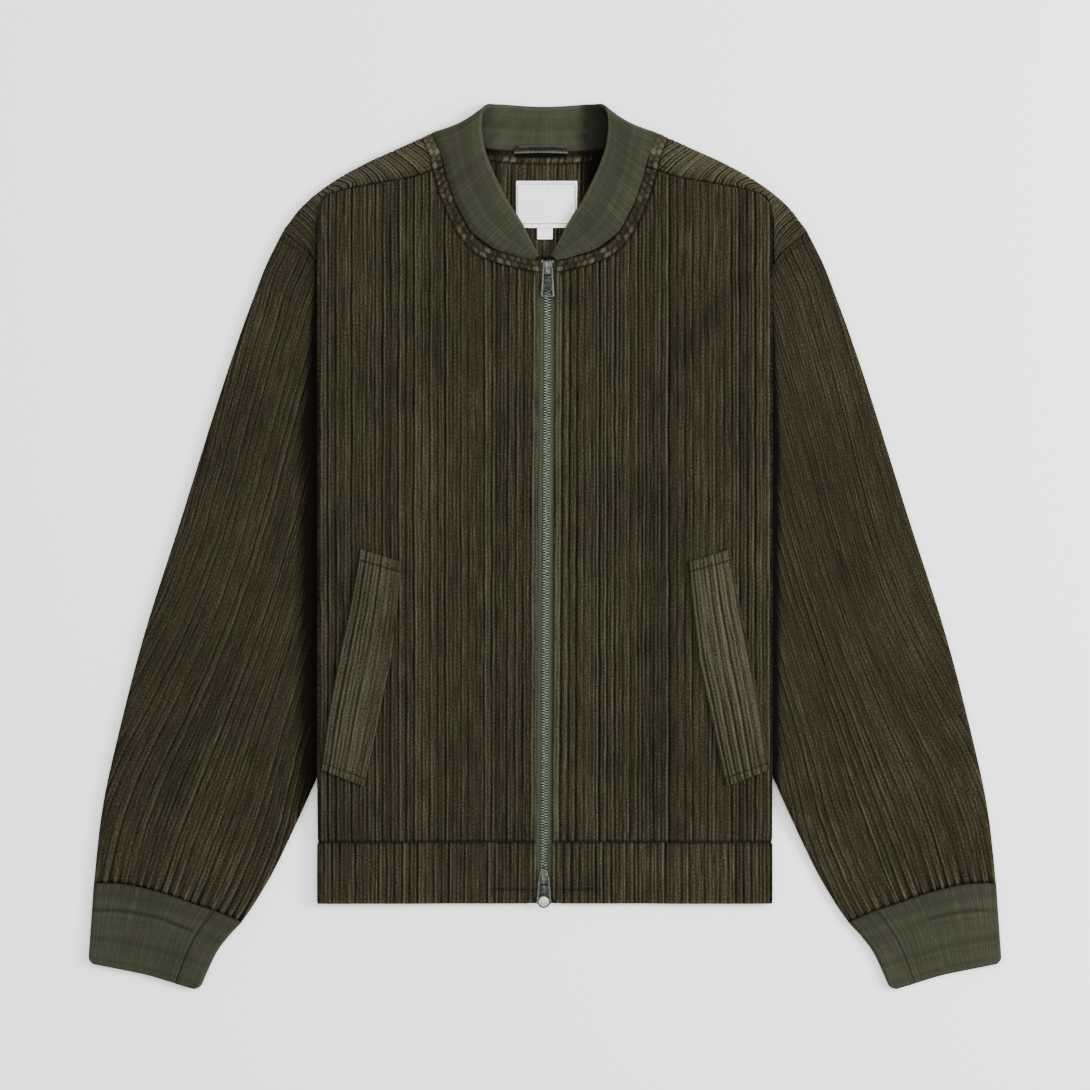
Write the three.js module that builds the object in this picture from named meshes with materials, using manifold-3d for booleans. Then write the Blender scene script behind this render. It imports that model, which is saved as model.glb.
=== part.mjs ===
// Corduroy bomber jacket with a knitted collar and cuffs, laid flat on its back.
// Millimetres. +X is to the right seen from above, +Y runs towards the collar and +Z is up.
// While it is drawn, a point is given as x from the centre line and h above the hem's edge.
// Each pair of panels is drawn once, on the right, and the left one is its mirror image.

import * as THREE from 'three';
import Module from 'manifold-3d';
import { mergeVertices } from 'three/addons/utils/BufferGeometryUtils.js';

const wasm = await Module();
wasm.setup();

// Cloth
const CLOTH = 1.4; // corduroy wall between its grooves
const KNIT = 2.2; // doubled rib knit
const WALE_PITCH = 6.8;
const WALE_HEIGHT = 0.8;
const SEAM_GAP = 0.3;

// Body, half widths from the centre line
const FRONT_FOLD_X = 197;
const BACK_FOLD_X = 195;
const FOLD_RADIUS = 0.9;
const GUSSET_DEPTH = 73; // cloth folded in at each side
const GUSSET_FULL_H = 400;
const GUSSET_END_H = 530;
const HEM_BAND = 54;
const HEM_CORNER = 9;
const HEM_EXTRA = 0.4; // the band is folded cloth, so it stands a little proud

// Heights of the layers, to the middle of each wall
const BACK_Z = CLOTH / 2;
const CENTRE_Z = 3.7;
const NECK_Z = 5.2;
const SIDE_Z = 10.6;
const SIDE_HEM_Z = 6.1;
const SHOULDER_Z = 6;
const UNDER_SLEEVE_Z = { lower: 4.3, upper: 6.3 };
const FREE_SLEEVE_Z = { lower: BACK_Z, upper: 4.1 };
const SLEEVE_LIFT = 1.8; // a sleeve lies this much lower where no gusset is under it
const SLEEVE_PUFF = 1.3;

// Zip
const ZIP_HALF_OPENING = 7.9;
const TAPE = { inner: 0.25, outer: 13, thickness: 0.7, z: 2.25, top: 563, bottom: 6 };
const CHAIN = { width: 5.5, bottomZ: 2.9, topZ: 4.7 };
const SLIDER = { width: 9, length: 11.4, bottomZ: 2.9, topZ: 6.1 };
const BRIDGE = { width: 2.6, length: 8.4, clear: 2, thickness: 1.1, leg: 1.4 };
const PULL_THICKNESS = 1.2;
const TOP_SLIDER_H = 557;
const BOTTOM_SLIDER_H = 23.6;

// Labels, welts and loop
const LABEL = { left: -25.3, right: 28.1, top: 633, bottom: 592, thickness: 1 };
const SIZE_TAB = { left: -6.9, right: 6.7, bottom: 582 };
const LOOP = { left: -27, right: 20, h: 660.5, width: 7, thickness: 1, rise: 1.2 };
const ARM_GAP = 0.8; // between the body's cloth and the sleeve's at the armhole
const WRAP_LEAN = 0.4; // how far the wales lean over each shoulder, as a share of its length
const WELT_LIFT = 2.95; // middle of a welt above the middle of the front under it

const COLOURS = {
  corduroy: 0x39332a,
  knit: 0x474a3b,
  tape: 0x565b49,
  label: 0xe6e6e4,
  teeth: 0x8d9488,
  metal: 0x55564f,
};

// The outline, from above
const FRONT_NECK = [
  { x: 7, h: 563.4 },
  { x: 14.8, h: 564.4 },
  { x: 39, h: 570.5 },
  { x: 56, h: 578.4 },
  { x: 70, h: 595.9 },
  { x: 81.3, h: 620.4 },
  { x: 88.3, h: 644 },
];
const SHOULDER_SEAM = [
  { x: 88.3, h: 645.8 },
  { x: 115, h: 637 },
  { x: 142, h: 632 },
  { x: 160, h: 629 },
  { x: 174, h: 626 },
  { x: 190, h: 621 },
  { x: 198, h: 612 },
];
const BACK_NECK = [
  { x: 0, h: 658 },
  { x: 33, h: 659.2 },
  { x: 66, h: 664 },
  { x: 94, h: 671.8 },
];
const SHOULDER_EDGE = [
  { x: 94, h: 676 },
  { x: 107.6, h: 670 },
  { x: 129, h: 660 },
  { x: 152.7, h: 649.3 },
  { x: 172.4, h: 639 },
  { x: 190, h: 628 },
  { x: 203.4, h: 617.8 },
  { x: 214.4, h: 607.3 },
  { x: 222.3, h: 597 },
  { x: 229.3, h: 588 },
];
const ARMHOLE = [
  { h: 430, x: 120 },
  { h: 455, x: 127 },
  { h: 490, x: 148 },
  { h: 535, x: 181 },
  { h: 560, x: 199.5 },
  { h: 571, x: 207.4 },
  { h: 580, x: 218 },
  { h: 588, x: 229.3 },
];
// The seam where the wrapped back meets the front, then its edge beside the front's side fold
const WRAP_SEAM = [
  { x: 88.7, h: 646.1 },
  { x: 115, h: 637 },
  { x: 142, h: 632 },
  { x: 160, h: 629 },
  { x: 174, h: 626 },
  { x: 187, h: 622.8 },
  { x: 194.5, h: 619.2 },
  { x: 199.6, h: 615 },
  { x: 200.8, h: 608 },
  { x: 200.4, h: 597 },
  { x: 200, h: 580 },
  { x: 200, h: 563.5 },
];
const WRAP_NECK = [
  { x: 88.7, h: 646.1 },
  { x: 91, h: 656 },
  { x: 94.6, h: 665.5 },
  { x: 98.8, h: 673.6 },
];
// Middle heights of the wrapped cloth, from the neck to the armhole
const WRAP_Z = [
  { u: 0, seam: 4.8, edge: 4.8 },
  { u: 0.55, seam: 5.6, edge: 5.6 },
  { u: 0.72, seam: 5.3, edge: 5 },
  { u: 1, seam: 5.6, edge: 3.5 },
];

const SLEEVE_OUTER = [
  { x: 229.3, h: 588 },
  { x: 243.3, h: 560 },
  { x: 255.5, h: 528.5 },
  { x: 268.2, h: 493.5 },
  { x: 285.7, h: 441 },
  { x: 318.5, h: 336 },
  { x: 351.8, h: 231 },
  { x: 378.4, h: 126 },
  { x: 388.5, h: 73.5 },
  { x: 394.5, h: 17.8 },
];
const SLEEVE_INNER = [
  { x: 120, h: 430 },
  { x: 134, h: 353 },
  { x: 151, h: 266 },
  { x: 175, h: 178.5 },
  { x: 199.5, h: 113 },
  { x: 233.6, h: 38.5 },
  { x: 253.3, h: 3.5 },
  { x: 266.5, h: -15.8 },
];
const CUFF_SEAM = [
  { x: 394.5, h: 17.8 },
  { x: 371.8, h: 17.3 },
  { x: 349.5, h: 13 },
  { x: 328, h: 7 },
  { x: 306, h: -0.9 },
  { x: 290.4, h: -6 },
  { x: 266.5, h: -15.8 },
];
const CUFF_EDGE = [
  { x: 399.4, h: -52.5 },
  { x: 371.8, h: -57.8 },
  { x: 347.3, h: -63 },
  { x: 324, h: -70 },
  { x: 304, h: -76 },
];
const CUFF_INNER = [
  { x: 266.5, h: -15.8 },
  { x: 279.5, h: -29.8 },
  { x: 290.4, h: -45.5 },
  { x: 304, h: -76 },
];

// A collar station: its free edge, its neck seam, and how far it has turned over to the back
const COLLAR = [
  { freeX: 5.6, freeH: 567.2, seamX: 9.5, seamH: 564.6, turn: 0 },
  { freeX: 8.9, freeH: 573.1, seamX: 18, seamH: 565.8, turn: 0 },
  { freeX: 20, freeH: 596, seamX: 44, seamH: 573.4, turn: 0 },
  { freeX: 34, freeH: 617.8, seamX: 64.5, seamH: 588.6, turn: 0 },
  { freeX: 46.3, freeH: 643, seamX: 78.2, seamH: 615, turn: 0 },
  { freeX: 53.3, freeH: 662.4, seamX: 85.2, seamH: 636.5, turn: 0 },
  { freeX: 56, freeH: 681.6, seamX: 89.8, seamH: 655, turn: 0 },
  { freeX: 52, freeH: 700, seamX: 93.4, seamH: 669, turn: 0 },
  { freeX: 52, freeH: 700, seamX: 93.4, seamH: 669, turn: 0.25 },
  { freeX: 52, freeH: 700, seamX: 93.4, seamH: 669, turn: 0.5 },
  { freeX: 52, freeH: 700, seamX: 93.4, seamH: 669, turn: 0.75 },
  { freeX: 51, freeH: 700.5, seamX: 90.5, seamH: 673.8, turn: 1 },
  { freeX: 38, freeH: 700.6, seamX: 66, seamH: 664.5, turn: 1 },
  { freeX: 19, freeH: 699, seamX: 33, seamH: 659.7, turn: 1 },
  { freeX: 0, freeH: 698.3, seamX: 0, seamH: 658.5, turn: 1 },
];
const COLLAR_Z = { back: KNIT / 2, front: 8, crown: 1.2 };

// A welt's cross rows, from its top end to its bottom end
const WELT = [
  { innerX: 125.6, outerX: 161.5, innerH: 299.3, outerH: 310.6 },
  { innerX: 130, outerX: 170, innerH: 254, outerH: 262 },
  { innerX: 134.5, outerX: 178.5, innerH: 215, outerH: 222 },
  { innerX: 142.5, outerX: 186, innerH: 178, outerH: 184 },
  { innerX: 150, outerX: 191.5, innerH: 140, outerH: 150 },
  { innerX: 158.5, outerX: 196, innerH: 103.3, outerH: 118 },
];

// Small helpers

const clamp01 = (value) => Math.min(1, Math.max(0, value));

function ease(value, from, to) {
  const t = clamp01((value - from) / (to - from));
  return t * t * (3 - 2 * t);
}

const mix = (a, b, t) => a + (b - a) * t;

function steps(count, from = 0, to = 1) {
  return Array.from({ length: count + 1 }, (_, i) => mix(from, to, i / count));
}

// Reads one named column of a table at a value of another, with a smooth slope between rows
function read(table, key, at, column) {
  const last = table.length - 1;
  let i = 0;
  while (i < last - 1 && at > table[i + 1][key]) i += 1;
  const slope = (k) => {
    const low = table[Math.max(0, k - 1)];
    const high = table[Math.min(last, k + 1)];
    return (high[column] - low[column]) / (high[key] - low[key]);
  };
  const span = table[i + 1][key] - table[i][key];
  const t = clamp01((at - table[i][key]) / span);
  const [a, b] = [table[i][column], table[i + 1][column]];
  const cubic = t * t * (3 - 2 * t);
  const start = t * (1 - t) * (1 - t) * span * slope(i);
  const end = t * t * (t - 1) * span * slope(i + 1);
  return mix(a, b, cubic) + start + end;
}

const curve = (table) => new THREE.SplineCurve(table.map((row) => new THREE.Vector2(row.x, row.h)));

const waleDepth = (index) => WALE_HEIGHT * (0.78 + 0.22 * Math.sin(index * 2.4));

// Crests and grooves alternate, so each wale takes two columns
const waleRelief = (index) => (index % 2 === 1 ? waleDepth(index) : 0);

// Solids

function geometryOf(positions, triangles) {
  const geometry = new THREE.BufferGeometry();
  geometry.setAttribute('position', new THREE.Float32BufferAttribute(positions, 3));
  geometry.setIndex(triangles);
  return geometry;
}

function toManifold(geometry) {
  geometry.deleteAttribute('normal');
  geometry.deleteAttribute('uv');
  const merged = mergeVertices(geometry, 1e-4);
  const vertProperties = Float32Array.from(merged.attributes.position.array);
  const triVerts = Uint32Array.from(merged.index.array);
  return new wasm.Manifold(new wasm.Mesh({ numProp: 3, vertProperties, triVerts }));
}

function toGeometry(solid) {
  const mesh = solid.getMesh();
  return geometryOf(Array.from(mesh.vertProperties), Array.from(mesh.triVerts));
}

function join(...geometries) {
  return toGeometry(geometries.map(toManifold).reduce((all, next) => all.add(next)));
}

function cut(geometry, ...tools) {
  return toGeometry(tools.map(toManifold).reduce((all, tool) => all.subtract(tool), toManifold(geometry)));
}

function unitSum(before, here, after) {
  const sum = new THREE.Vector3();
  if (after) sum.add(after.clone().sub(here).normalize());
  if (before) sum.add(here.clone().sub(before).normalize());
  return sum.normalize();
}

// The direction in which each point of a grid faces
function gridNormals(grid, closed, flip) {
  const count = grid.length;
  return grid.map((column, i) => column.map((point, j) => {
    const before = closed ? grid[(i + count - 1) % count] : grid[i - 1];
    const after = closed ? grid[(i + 1) % count] : grid[i + 1];
    const across = unitSum(before?.[j], point, after?.[j]);
    const along = unitSum(column[j - 1], point, column[j + 1]);
    return across.cross(along).normalize().multiplyScalar(flip);
  }));
}

function signedVolume(positions, triangles) {
  const corner = (k) => new THREE.Vector3().fromArray(positions, 3 * triangles[k]);
  let volume = 0;
  for (let k = 0; k < triangles.length; k += 3) {
    volume += corner(k).dot(corner(k + 1).cross(corner(k + 2)));
  }
  return volume;
}

// A cloth wall from the points of its middle surface. The outer side takes the relief of each
// column, and the inner side has only the columns that are kept, so that it stays plain.
function wall(grid, options) {
  const { thickness = CLOTH, relief = () => 0, kept = () => true, closed = false, flip = 1 } = options;
  const normals = gridNormals(grid, closed, flip);
  const rows = grid[0].length;
  const positions = [];
  const put = (i, j, distance) => {
    positions.push(...grid[i][j].clone().addScaledVector(normals[i][j], distance).toArray());
    return positions.length / 3 - 1;
  };
  const outer = grid.map((column, i) => column.map((_, j) => put(i, j, thickness / 2 + relief(i, j))));
  const keptColumns = grid.map((_, i) => i).filter((i) => kept(i) || i === 0 || i === grid.length - 1);
  const inner = keptColumns.map((i) => grid[i].map((_, j) => put(i, j, -thickness / 2)));
  const triangles = [];
  const quad = (a, b, c, d) => triangles.push(a, b, c, a, c, d);
  const spans = closed ? outer.length : outer.length - 1;
  for (let i = 0; i < spans; i += 1) {
    const next = (i + 1) % outer.length;
    for (let j = 0; j + 1 < rows; j += 1) {
      quad(outer[i][j], outer[next][j], outer[next][j + 1], outer[i][j + 1]);
    }
  }
  const innerSpans = closed ? inner.length : inner.length - 1;
  for (let k = 0; k < innerSpans; k += 1) {
    const next = (k + 1) % inner.length;
    for (let j = 0; j + 1 < rows; j += 1) {
      quad(inner[k][j], inner[k][j + 1], inner[next][j + 1], inner[next][j]);
    }
    const to = next === 0 ? outer.length : keptColumns[next];
    for (const [j, forward] of [[0, true], [rows - 1, false]]) {
      const rim = [];
      for (let i = keptColumns[k]; i < to; i += 1) {
        rim.push([inner[k][j], outer[(i + 1) % outer.length][j], outer[i][j]]);
      }
      rim.push([inner[k][j], inner[next][j], outer[to % outer.length][j]]);
      for (const [a, b, c] of rim) triangles.push(...(forward ? [a, b, c] : [a, c, b]));
    }
  }
  if (!closed) {
    const end = inner.length - 1;
    for (let j = 0; j + 1 < rows; j += 1) {
      quad(inner[0][j], outer[0][j], outer[0][j + 1], inner[0][j + 1]);
      quad(outer[outer.length - 1][j], inner[end][j], inner[end][j + 1], outer[outer.length - 1][j + 1]);
    }
  }
  if (signedVolume(positions, triangles) < 0) {
    for (let k = 0; k < triangles.length; k += 3) {
      [triangles[k], triangles[k + 1]] = [triangles[k + 1], triangles[k]];
    }
  }
  return geometryOf(positions, triangles);
}

// The body's layers

const zipX = (h) => mix(-1.2, 2.3, h / 562);

const gusset = (h) => GUSSET_DEPTH * (1 - ease(h, GUSSET_FULL_H, GUSSET_END_H));

function innerEdgeX(h) {
  if (h <= ARMHOLE[0].h) return ARMHOLE[0].x;
  return Math.min(188, read(ARMHOLE, 'h', h, 'x') - 2);
}

function sideZ(h) {
  const lower = mix(SIDE_HEM_Z, SIDE_Z, ease(h, 52, 92));
  return mix(lower, SHOULDER_Z, clamp01((h - 562) / 59));
}

// Middle height of the front panels, which sag between the folded sides
function frontZ(x, h) {
  const centre = mix(CENTRE_Z, NECK_Z, ease(h, 470, 555));
  const edge = innerEdgeX(h);
  const swell = 0.25 * Math.sin(x / 23 + h / 95) * ease(x, 20, 60) * (1 - ease(x, 90, 120));
  return mix(centre, sideZ(h), ease(x, edge - 34, edge - 3)) + swell;
}

function sleeveZ(x, h) {
  const under = 1 - ease(x, 212, 240);
  const lift = SLEEVE_LIFT * ease(h, 552, 580);
  return {
    lower: mix(FREE_SLEEVE_Z.lower, UNDER_SLEEVE_Z.lower - lift, under),
    upper: mix(FREE_SLEEVE_Z.upper, UNDER_SLEEVE_Z.upper - lift, under),
  };
}

// Columns across a panel: a straight run on the wales, then the fold and the cloth folded in
function panelColumns(startX, foldX) {
  const count = 2 * Math.round((foldX - startX) / WALE_PITCH);
  const flat = steps(count).map((t) => ({ x: mix(startX, foldX, t), turn: 0, depth: 0 }));
  const fold = [0.25, 0.5, 0.75, 1].map((turn) => ({ x: foldX, turn, depth: 0 }));
  const folded = [0.08, 0.5, 1].map((depth) => ({ x: foldX, turn: 1, depth }));
  return { flatCount: flat.length, columns: [...flat, ...fold, ...folded] };
}

// One point of a folded panel. Up is 1 where the cloth turns down and under, and -1 where it
// turns up and over.
function panelPoint(column, h, z, down, side) {
  const angle = column.turn * Math.PI;
  const back = column.depth * Math.max(gusset(h), 1);
  const x = column.x + FOLD_RADIUS * Math.sin(angle) - back;
  const drop = FOLD_RADIUS * (1 - Math.cos(angle));
  return new THREE.Vector3(side * x, h, z - down * drop);
}

const plainEvery = (flatCount) => (i) => i % 8 === 0 || i >= flatCount - 1;

function frontTop(x) {
  if (x < FRONT_NECK[FRONT_NECK.length - 1].x) return read(FRONT_NECK, 'x', x, 'h');
  return read(SHOULDER_SEAM, 'x', x, 'h') - 2 * SEAM_GAP;
}

const FRONT_ROWS = [0, 0.035, 0.08, 0.2, 0.45, 0.66, 0.78, 0.85, 0.92, 1];

function frontPanel(side) {
  const zipEdge = (h) => side * zipX(h) + ZIP_HALF_OPENING;
  const { flatCount, columns } = panelColumns(ZIP_HALF_OPENING, FRONT_FOLD_X);
  const bottom = HEM_BAND + SEAM_GAP;
  const grid = columns.map((column) => FRONT_ROWS.map((v) => {
    const h = mix(bottom, frontTop(column.x), v);
    const shift = (zipEdge(h) - ZIP_HALF_OPENING) * (1 - ease(column.x, 8, 60));
    const z = frontZ(column.x, h);
    return panelPoint({ ...column, x: column.x + shift }, h, z, 1, side);
  }));
  const relief = (i) => (i < flatCount ? waleRelief(i) : 0);
  return wall(grid, { relief, kept: plainEvery(flatCount), flip: side });
}

// Outer edge of the shoulder cap: up the armhole seam, then up the shoulder's edge
function capEdge(v) {
  const h = mix(560.5, 622, v);
  if (h < 588) return { x: read(ARMHOLE, 'h', h, 'x') - 0.8, h };
  const edge = [...SHOULDER_EDGE].reverse();
  return { x: read(edge, 'h', h, 'x') - 0.4, h };
}

function backTop(x) {
  if (x < BACK_NECK[BACK_NECK.length - 1].x) return read(BACK_NECK, 'x', x, 'h');
  return read(SHOULDER_EDGE, 'x', x, 'h') - 4;
}

const BACK_ROWS = [0, 0.35, 0.62, 0.73, 0.84, 1];

// The half back from the centre line: flat on the ground, folded up and in at its side
function backSheet(side, bottom, topOf, rows) {
  const flat = [-0.5, 30, 62, 93.9, 110, 130, 152, 172, 184, BACK_FOLD_X].map((x) => ({
    x, turn: 0, depth: 0,
  }));
  const fold = [0.25, 0.5, 0.75, 1].map((turn) => ({ x: BACK_FOLD_X, turn, depth: 0 }));
  const folded = [0.5, 1].map((depth) => ({ x: BACK_FOLD_X, turn: 1, depth }));
  const grid = [...flat, ...fold, ...folded].map((column) => rows.map((v) => {
    const h = mix(bottom, topOf(Math.abs(column.x)), v);
    return panelPoint(column, h, BACK_Z, -1, side);
  }));
  return wall(grid, { flip: -side });
}

// The back's own cloth beyond its side fold, up to the armhole seam and the shoulder's edge
function backCap(side) {
  const grid = steps(4).map((u) => steps(8).map((v) => {
    const outer = capEdge(v);
    const inner = { x: BACK_FOLD_X - 6, h: mix(548, 619, v) };
    const x = mix(inner.x, Math.max(outer.x, inner.x + 3) - 2 * ease(outer.h, 588, 600), u);
    return new THREE.Vector3(side * x, mix(inner.h, outer.h - 3 * v, u), BACK_Z);
  }));
  return wall(grid, { flip: -side });
}

// The back wraps over each shoulder to its seam on the front and reaches the armhole. Its wales
// lie aslant, so each column leans over as it rises.
function shoulderWrap(side) {
  const [seam, neck, edge] = [curve(WRAP_SEAM), curve(WRAP_NECK), curve(SHOULDER_EDGE)];
  const bends = [0, 0.33, 0.67, 1];
  const turns = [0.25, 0.5, 0.75, 1];
  const inset = (u) => {
    const place = mix(0.031, 1, u);
    const top = edge.getPointAt(place);
    const run = edge.getTangentAt(place);
    const out = new THREE.Vector2(-run.y, run.x);
    const high = read(WRAP_Z, 'u', u, 'edge');
    const radius = (high - BACK_Z) / 2;
    return { high, radius, out, at: top.clone().addScaledVector(out, -radius) };
  };
  const armAt = (b) => {
    const h = mix(562.5, 588, b);
    return new THREE.Vector2(read(ARMHOLE, 'h', h, 'x') - ARM_GAP, h);
  };
  const fitted = (point, b, first, last, from, to) => point
    .clone()
    .addScaledVector(to.clone().sub(last), b)
    .addScaledVector(from.clone().sub(first), 1 - b);
  const [low0, low1, high0, high1] = [seam.getPoint(0), seam.getPoint(1), inset(0).at, inset(1).at];
  const plan = (u, b) => {
    const start = fitted(neck.getPointAt(b), b, neck.getPoint(0), neck.getPoint(1), low0, high0);
    const end = fitted(armAt(b), b, armAt(0), armAt(1), low1, high1);
    const ruled = seam.getPointAt(u).lerp(inset(u).at, b).add(start.lerp(end, u));
    return ruled.sub(low0.clone().lerp(high0, b).lerp(low1.clone().lerp(high1, b), u));
  };
  const grid = steps(48).map((t) => {
    const leaning = (b) => t + WRAP_LEAN * t * (1 - t) * b;
    const front = bends.map((b) => {
      const u = leaning(b);
      const { x, y } = plan(u, b);
      return new THREE.Vector3(side * x, y, mix(read(WRAP_Z, 'u', u, 'seam'), inset(u).high, b));
    });
    const { high, radius, out, at } = inset(leaning(1));
    const over = turns.map((turn) => {
      const reach = radius * Math.sin(turn * Math.PI);
      const z = high - radius * (1 - Math.cos(turn * Math.PI));
      return new THREE.Vector3(side * (at.x + out.x * reach), at.y + out.y * reach, z);
    });
    const back = new THREE.Vector3(side * (at.x - 9 * out.x), at.y - 9 * out.y, BACK_Z);
    return [...front, ...over, back];
  });
  const relief = (i, j) => (j <= bends.length ? waleRelief(i) : 0);
  return wall(grid, { relief, flip: side });
}

// The fronts' side folds keep their own room under the wrapped shoulders
function backPanel() {
  const halves = [1, -1].flatMap((side) => [
    backSheet(side, HEM_BAND + SEAM_GAP, backTop, BACK_ROWS),
    backCap(side),
    shoulderWrap(side),
  ]);
  const room = block(2 * (FRONT_FOLD_X + 2), 80, 8, 0, 573.3, 6.5);
  return cut(join(...halves), room);
}

function backHemBand() {
  const halves = [1, -1].map((side) => backSheet(side, 0, () => HEM_BAND, [0, 1]));
  return join(...halves);
}

// The front band's lower corner beside the zip is rounded
function hemBottom(x) {
  const inside = clamp01((ZIP_HALF_OPENING + HEM_CORNER - x) / HEM_CORNER);
  return HEM_CORNER * (1 - Math.sqrt(1 - inside * inside));
}

function frontHemBand(side) {
  const { flatCount, columns } = panelColumns(ZIP_HALF_OPENING, FRONT_FOLD_X);
  const grid = columns.map((column) => [0, 0.5, 1].map((v) => {
    const h = mix(hemBottom(column.x), HEM_BAND, v);
    const shift = side * zipX(h) * (1 - ease(column.x, 8, 60));
    const z = frontZ(column.x, h);
    return panelPoint({ ...column, x: column.x + shift }, h, z, 1, side);
  }));
  const relief = (i) => HEM_EXTRA + (i < flatCount ? waleRelief(i) : -HEM_EXTRA);
  return wall(grid, { relief, kept: plainEvery(flatCount), flip: side });
}

// Sleeves and cuffs

// A point between four edge curves: a runs from the outer edge to the inner one, v along
function patch(outer, inner, start, end, a, v) {
  const o = outer.getPointAt(v);
  const i = inner.getPointAt(v);
  const s = start.getPointAt(a);
  const e = end.getPointAt(a);
  const [o0, o1, i0, i1] = [outer.getPoint(0), outer.getPoint(1), inner.getPoint(0), inner.getPoint(1)];
  const at = (axis) => {
    const ruled = mix(o[axis], i[axis], a) + mix(s[axis], e[axis], v);
    const corners = mix(mix(o0[axis], i0[axis], a), mix(o1[axis], i1[axis], a), v);
    return ruled - corners;
  };
  return { x: at('x'), h: at('y') };
}

// Columns round a flattened tube: over its top from the outer edge to the inner one, and back
function tubeColumns(overCount, underCount, round) {
  const edge = [
    { a: 0, level: 0 },
    { a: 0.3 * round, level: 0.7 },
  ];
  const over = steps(overCount, round, 1 - round).map((a) => ({ a, level: 1, wale: true }));
  const under = steps(underCount, 1 - round, round).map((a) => ({ a, level: -1 }));
  return [
    ...edge,
    ...over,
    { a: 1 - 0.3 * round, level: 0.7 },
    { a: 1, level: 0 },
    { a: 1 - 0.3 * round, level: -0.7 },
    ...under,
    { a: 0.3 * round, level: -0.7 },
  ];
}

// A soft cross fold raises the sleeve's upper side where it bends at the elbow
function sleeveFolds(a, v) {
  const elbow = Math.exp(-(((v - 0.52 - 0.12 * a) / 0.035) ** 2)) * Math.sin(Math.PI * a);
  const forearm = Math.exp(-(((v - 0.78 + 0.1 * a) / 0.03) ** 2)) * Math.sin(Math.PI * a);
  return 0.7 * elbow + 0.6 * forearm;
}

const SLEEVE_ROWS = [0.0008, 0.06, 0.14, 0.26, 0.38, 0.46, 0.52, 0.6, 0.72, 0.86, 0.9999];

function sleeve(side) {
  const [outer, inner, end] = [curve(SLEEVE_OUTER), curve(SLEEVE_INNER), curve(CUFF_SEAM)];
  const start = curve([...ARMHOLE].reverse());
  const columns = tubeColumns(48, 14, 0.012);
  const grid = columns.map(({ a, level }) => SLEEVE_ROWS.map((v) => {
    const { x, h } = patch(outer, inner, start, end, a, v);
    const free = ease(x, 205, 240);
    const puff = (SLEEVE_PUFF * Math.sin(Math.PI * a) + sleeveFolds(a, v)) * free * Math.sin(Math.PI * clamp01(v));
    const z = sleeveZ(x, h);
    const middle = (z.lower + z.upper) / 2;
    const half = (z.upper - z.lower) / 2;
    return new THREE.Vector3(side * x, h, middle + half * level + (level > 0.9 ? puff : 0));
  }));
  const first = columns.findIndex((column) => column.wale);
  const last = columns.length - [...columns].reverse().findIndex((column) => column.wale);
  const relief = (i) => (columns[i].wale ? waleRelief(i - first) : 0);
  const kept = (i) => i < first || i >= last - 1 || (i - first) % 6 === 0;
  return wall(grid, { relief, kept, closed: true, flip: side });
}

function cuff(side) {
  const outer = curve([CUFF_SEAM[0], CUFF_EDGE[0]]);
  const [inner, start, end] = [curve(CUFF_INNER), curve(CUFF_SEAM), curve(CUFF_EDGE)];
  const columns = tubeColumns(12, 8, 0.014);
  const grid = columns.map(({ a, level }) => [0.004, 0.33, 0.67, 1].map((v) => {
    const { x, h } = patch(outer, inner, start, end, a, v);
    const crown = 0.6 * Math.sin(Math.PI * a) * Math.sin(Math.PI * v);
    const z = 2.6 + 1.5 * level + (level > 0.9 ? crown : 0);
    return new THREE.Vector3(side * x, h, z);
  }));
  return wall(grid, { thickness: KNIT, closed: true, flip: side });
}

// Collar

function collar() {
  const radius = (COLLAR_Z.front - COLLAR_Z.back) / 2;
  const half = COLLAR.map((row) => steps(4).map((across) => {
    const x = mix(row.freeX, row.seamX, across);
    const h = mix(row.freeH, row.seamH, across);
    const run = new THREE.Vector2(row.seamX - row.freeX, row.seamH - row.freeH).normalize();
    const angle = Math.PI * row.turn;
    const out = radius * Math.sin(angle);
    const crown = COLLAR_Z.crown * Math.sin(Math.PI * across) * ease(Math.cos(angle), -0.2, 1);
    const z = COLLAR_Z.back + radius + radius * Math.cos(angle) + crown;
    return new THREE.Vector3(x - run.y * out, h + run.x * out, z);
  }));
  const mirrored = half.slice(0, -1).map((column) => column.map((p) => new THREE.Vector3(-p.x, p.y, p.z)));
  const grid = [...half, ...mirrored.reverse()];
  return wall(grid, { thickness: KNIT });
}

// Flat pieces inside the neck

function backNeckFacing() {
  const span = 82;
  const count = 2 * Math.round((2 * span) / WALE_PITCH);
  const grid = steps(count).map((t) => [0, 0.35, 0.7, 1].map((v) => {
    const x = mix(-span, span, t);
    const low = read(FRONT_NECK, 'x', Math.max(Math.abs(x), 7), 'h') + 3;
    const high = read(BACK_NECK, 'x', Math.abs(x), 'h') - 0.8;
    return new THREE.Vector3(x, mix(low, high, v), CLOTH + SEAM_GAP + 0.5);
  }));
  return wall(grid, { thickness: 1, relief: (i) => 0.6 * waleRelief(i), kept: (i) => i % 8 === 0 });
}

function block(width, length, height, x, h, z) {
  const geometry = new THREE.BoxGeometry(width, length, height);
  return geometry.translate(x, h, z);
}

const FACING_TOP_Z = CLOTH + SEAM_GAP + 1 + 0.6 * WALE_HEIGHT;

function flatLabel(left, right, bottom, top, thickness) {
  const z = FACING_TOP_Z + SEAM_GAP + thickness / 2;
  const grid = steps(6).map((t) => [bottom, (bottom + top) / 2, top].map((h) => (
    new THREE.Vector3(mix(left, right, t), h, z)
  )));
  return wall(grid, { thickness });
}

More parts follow.
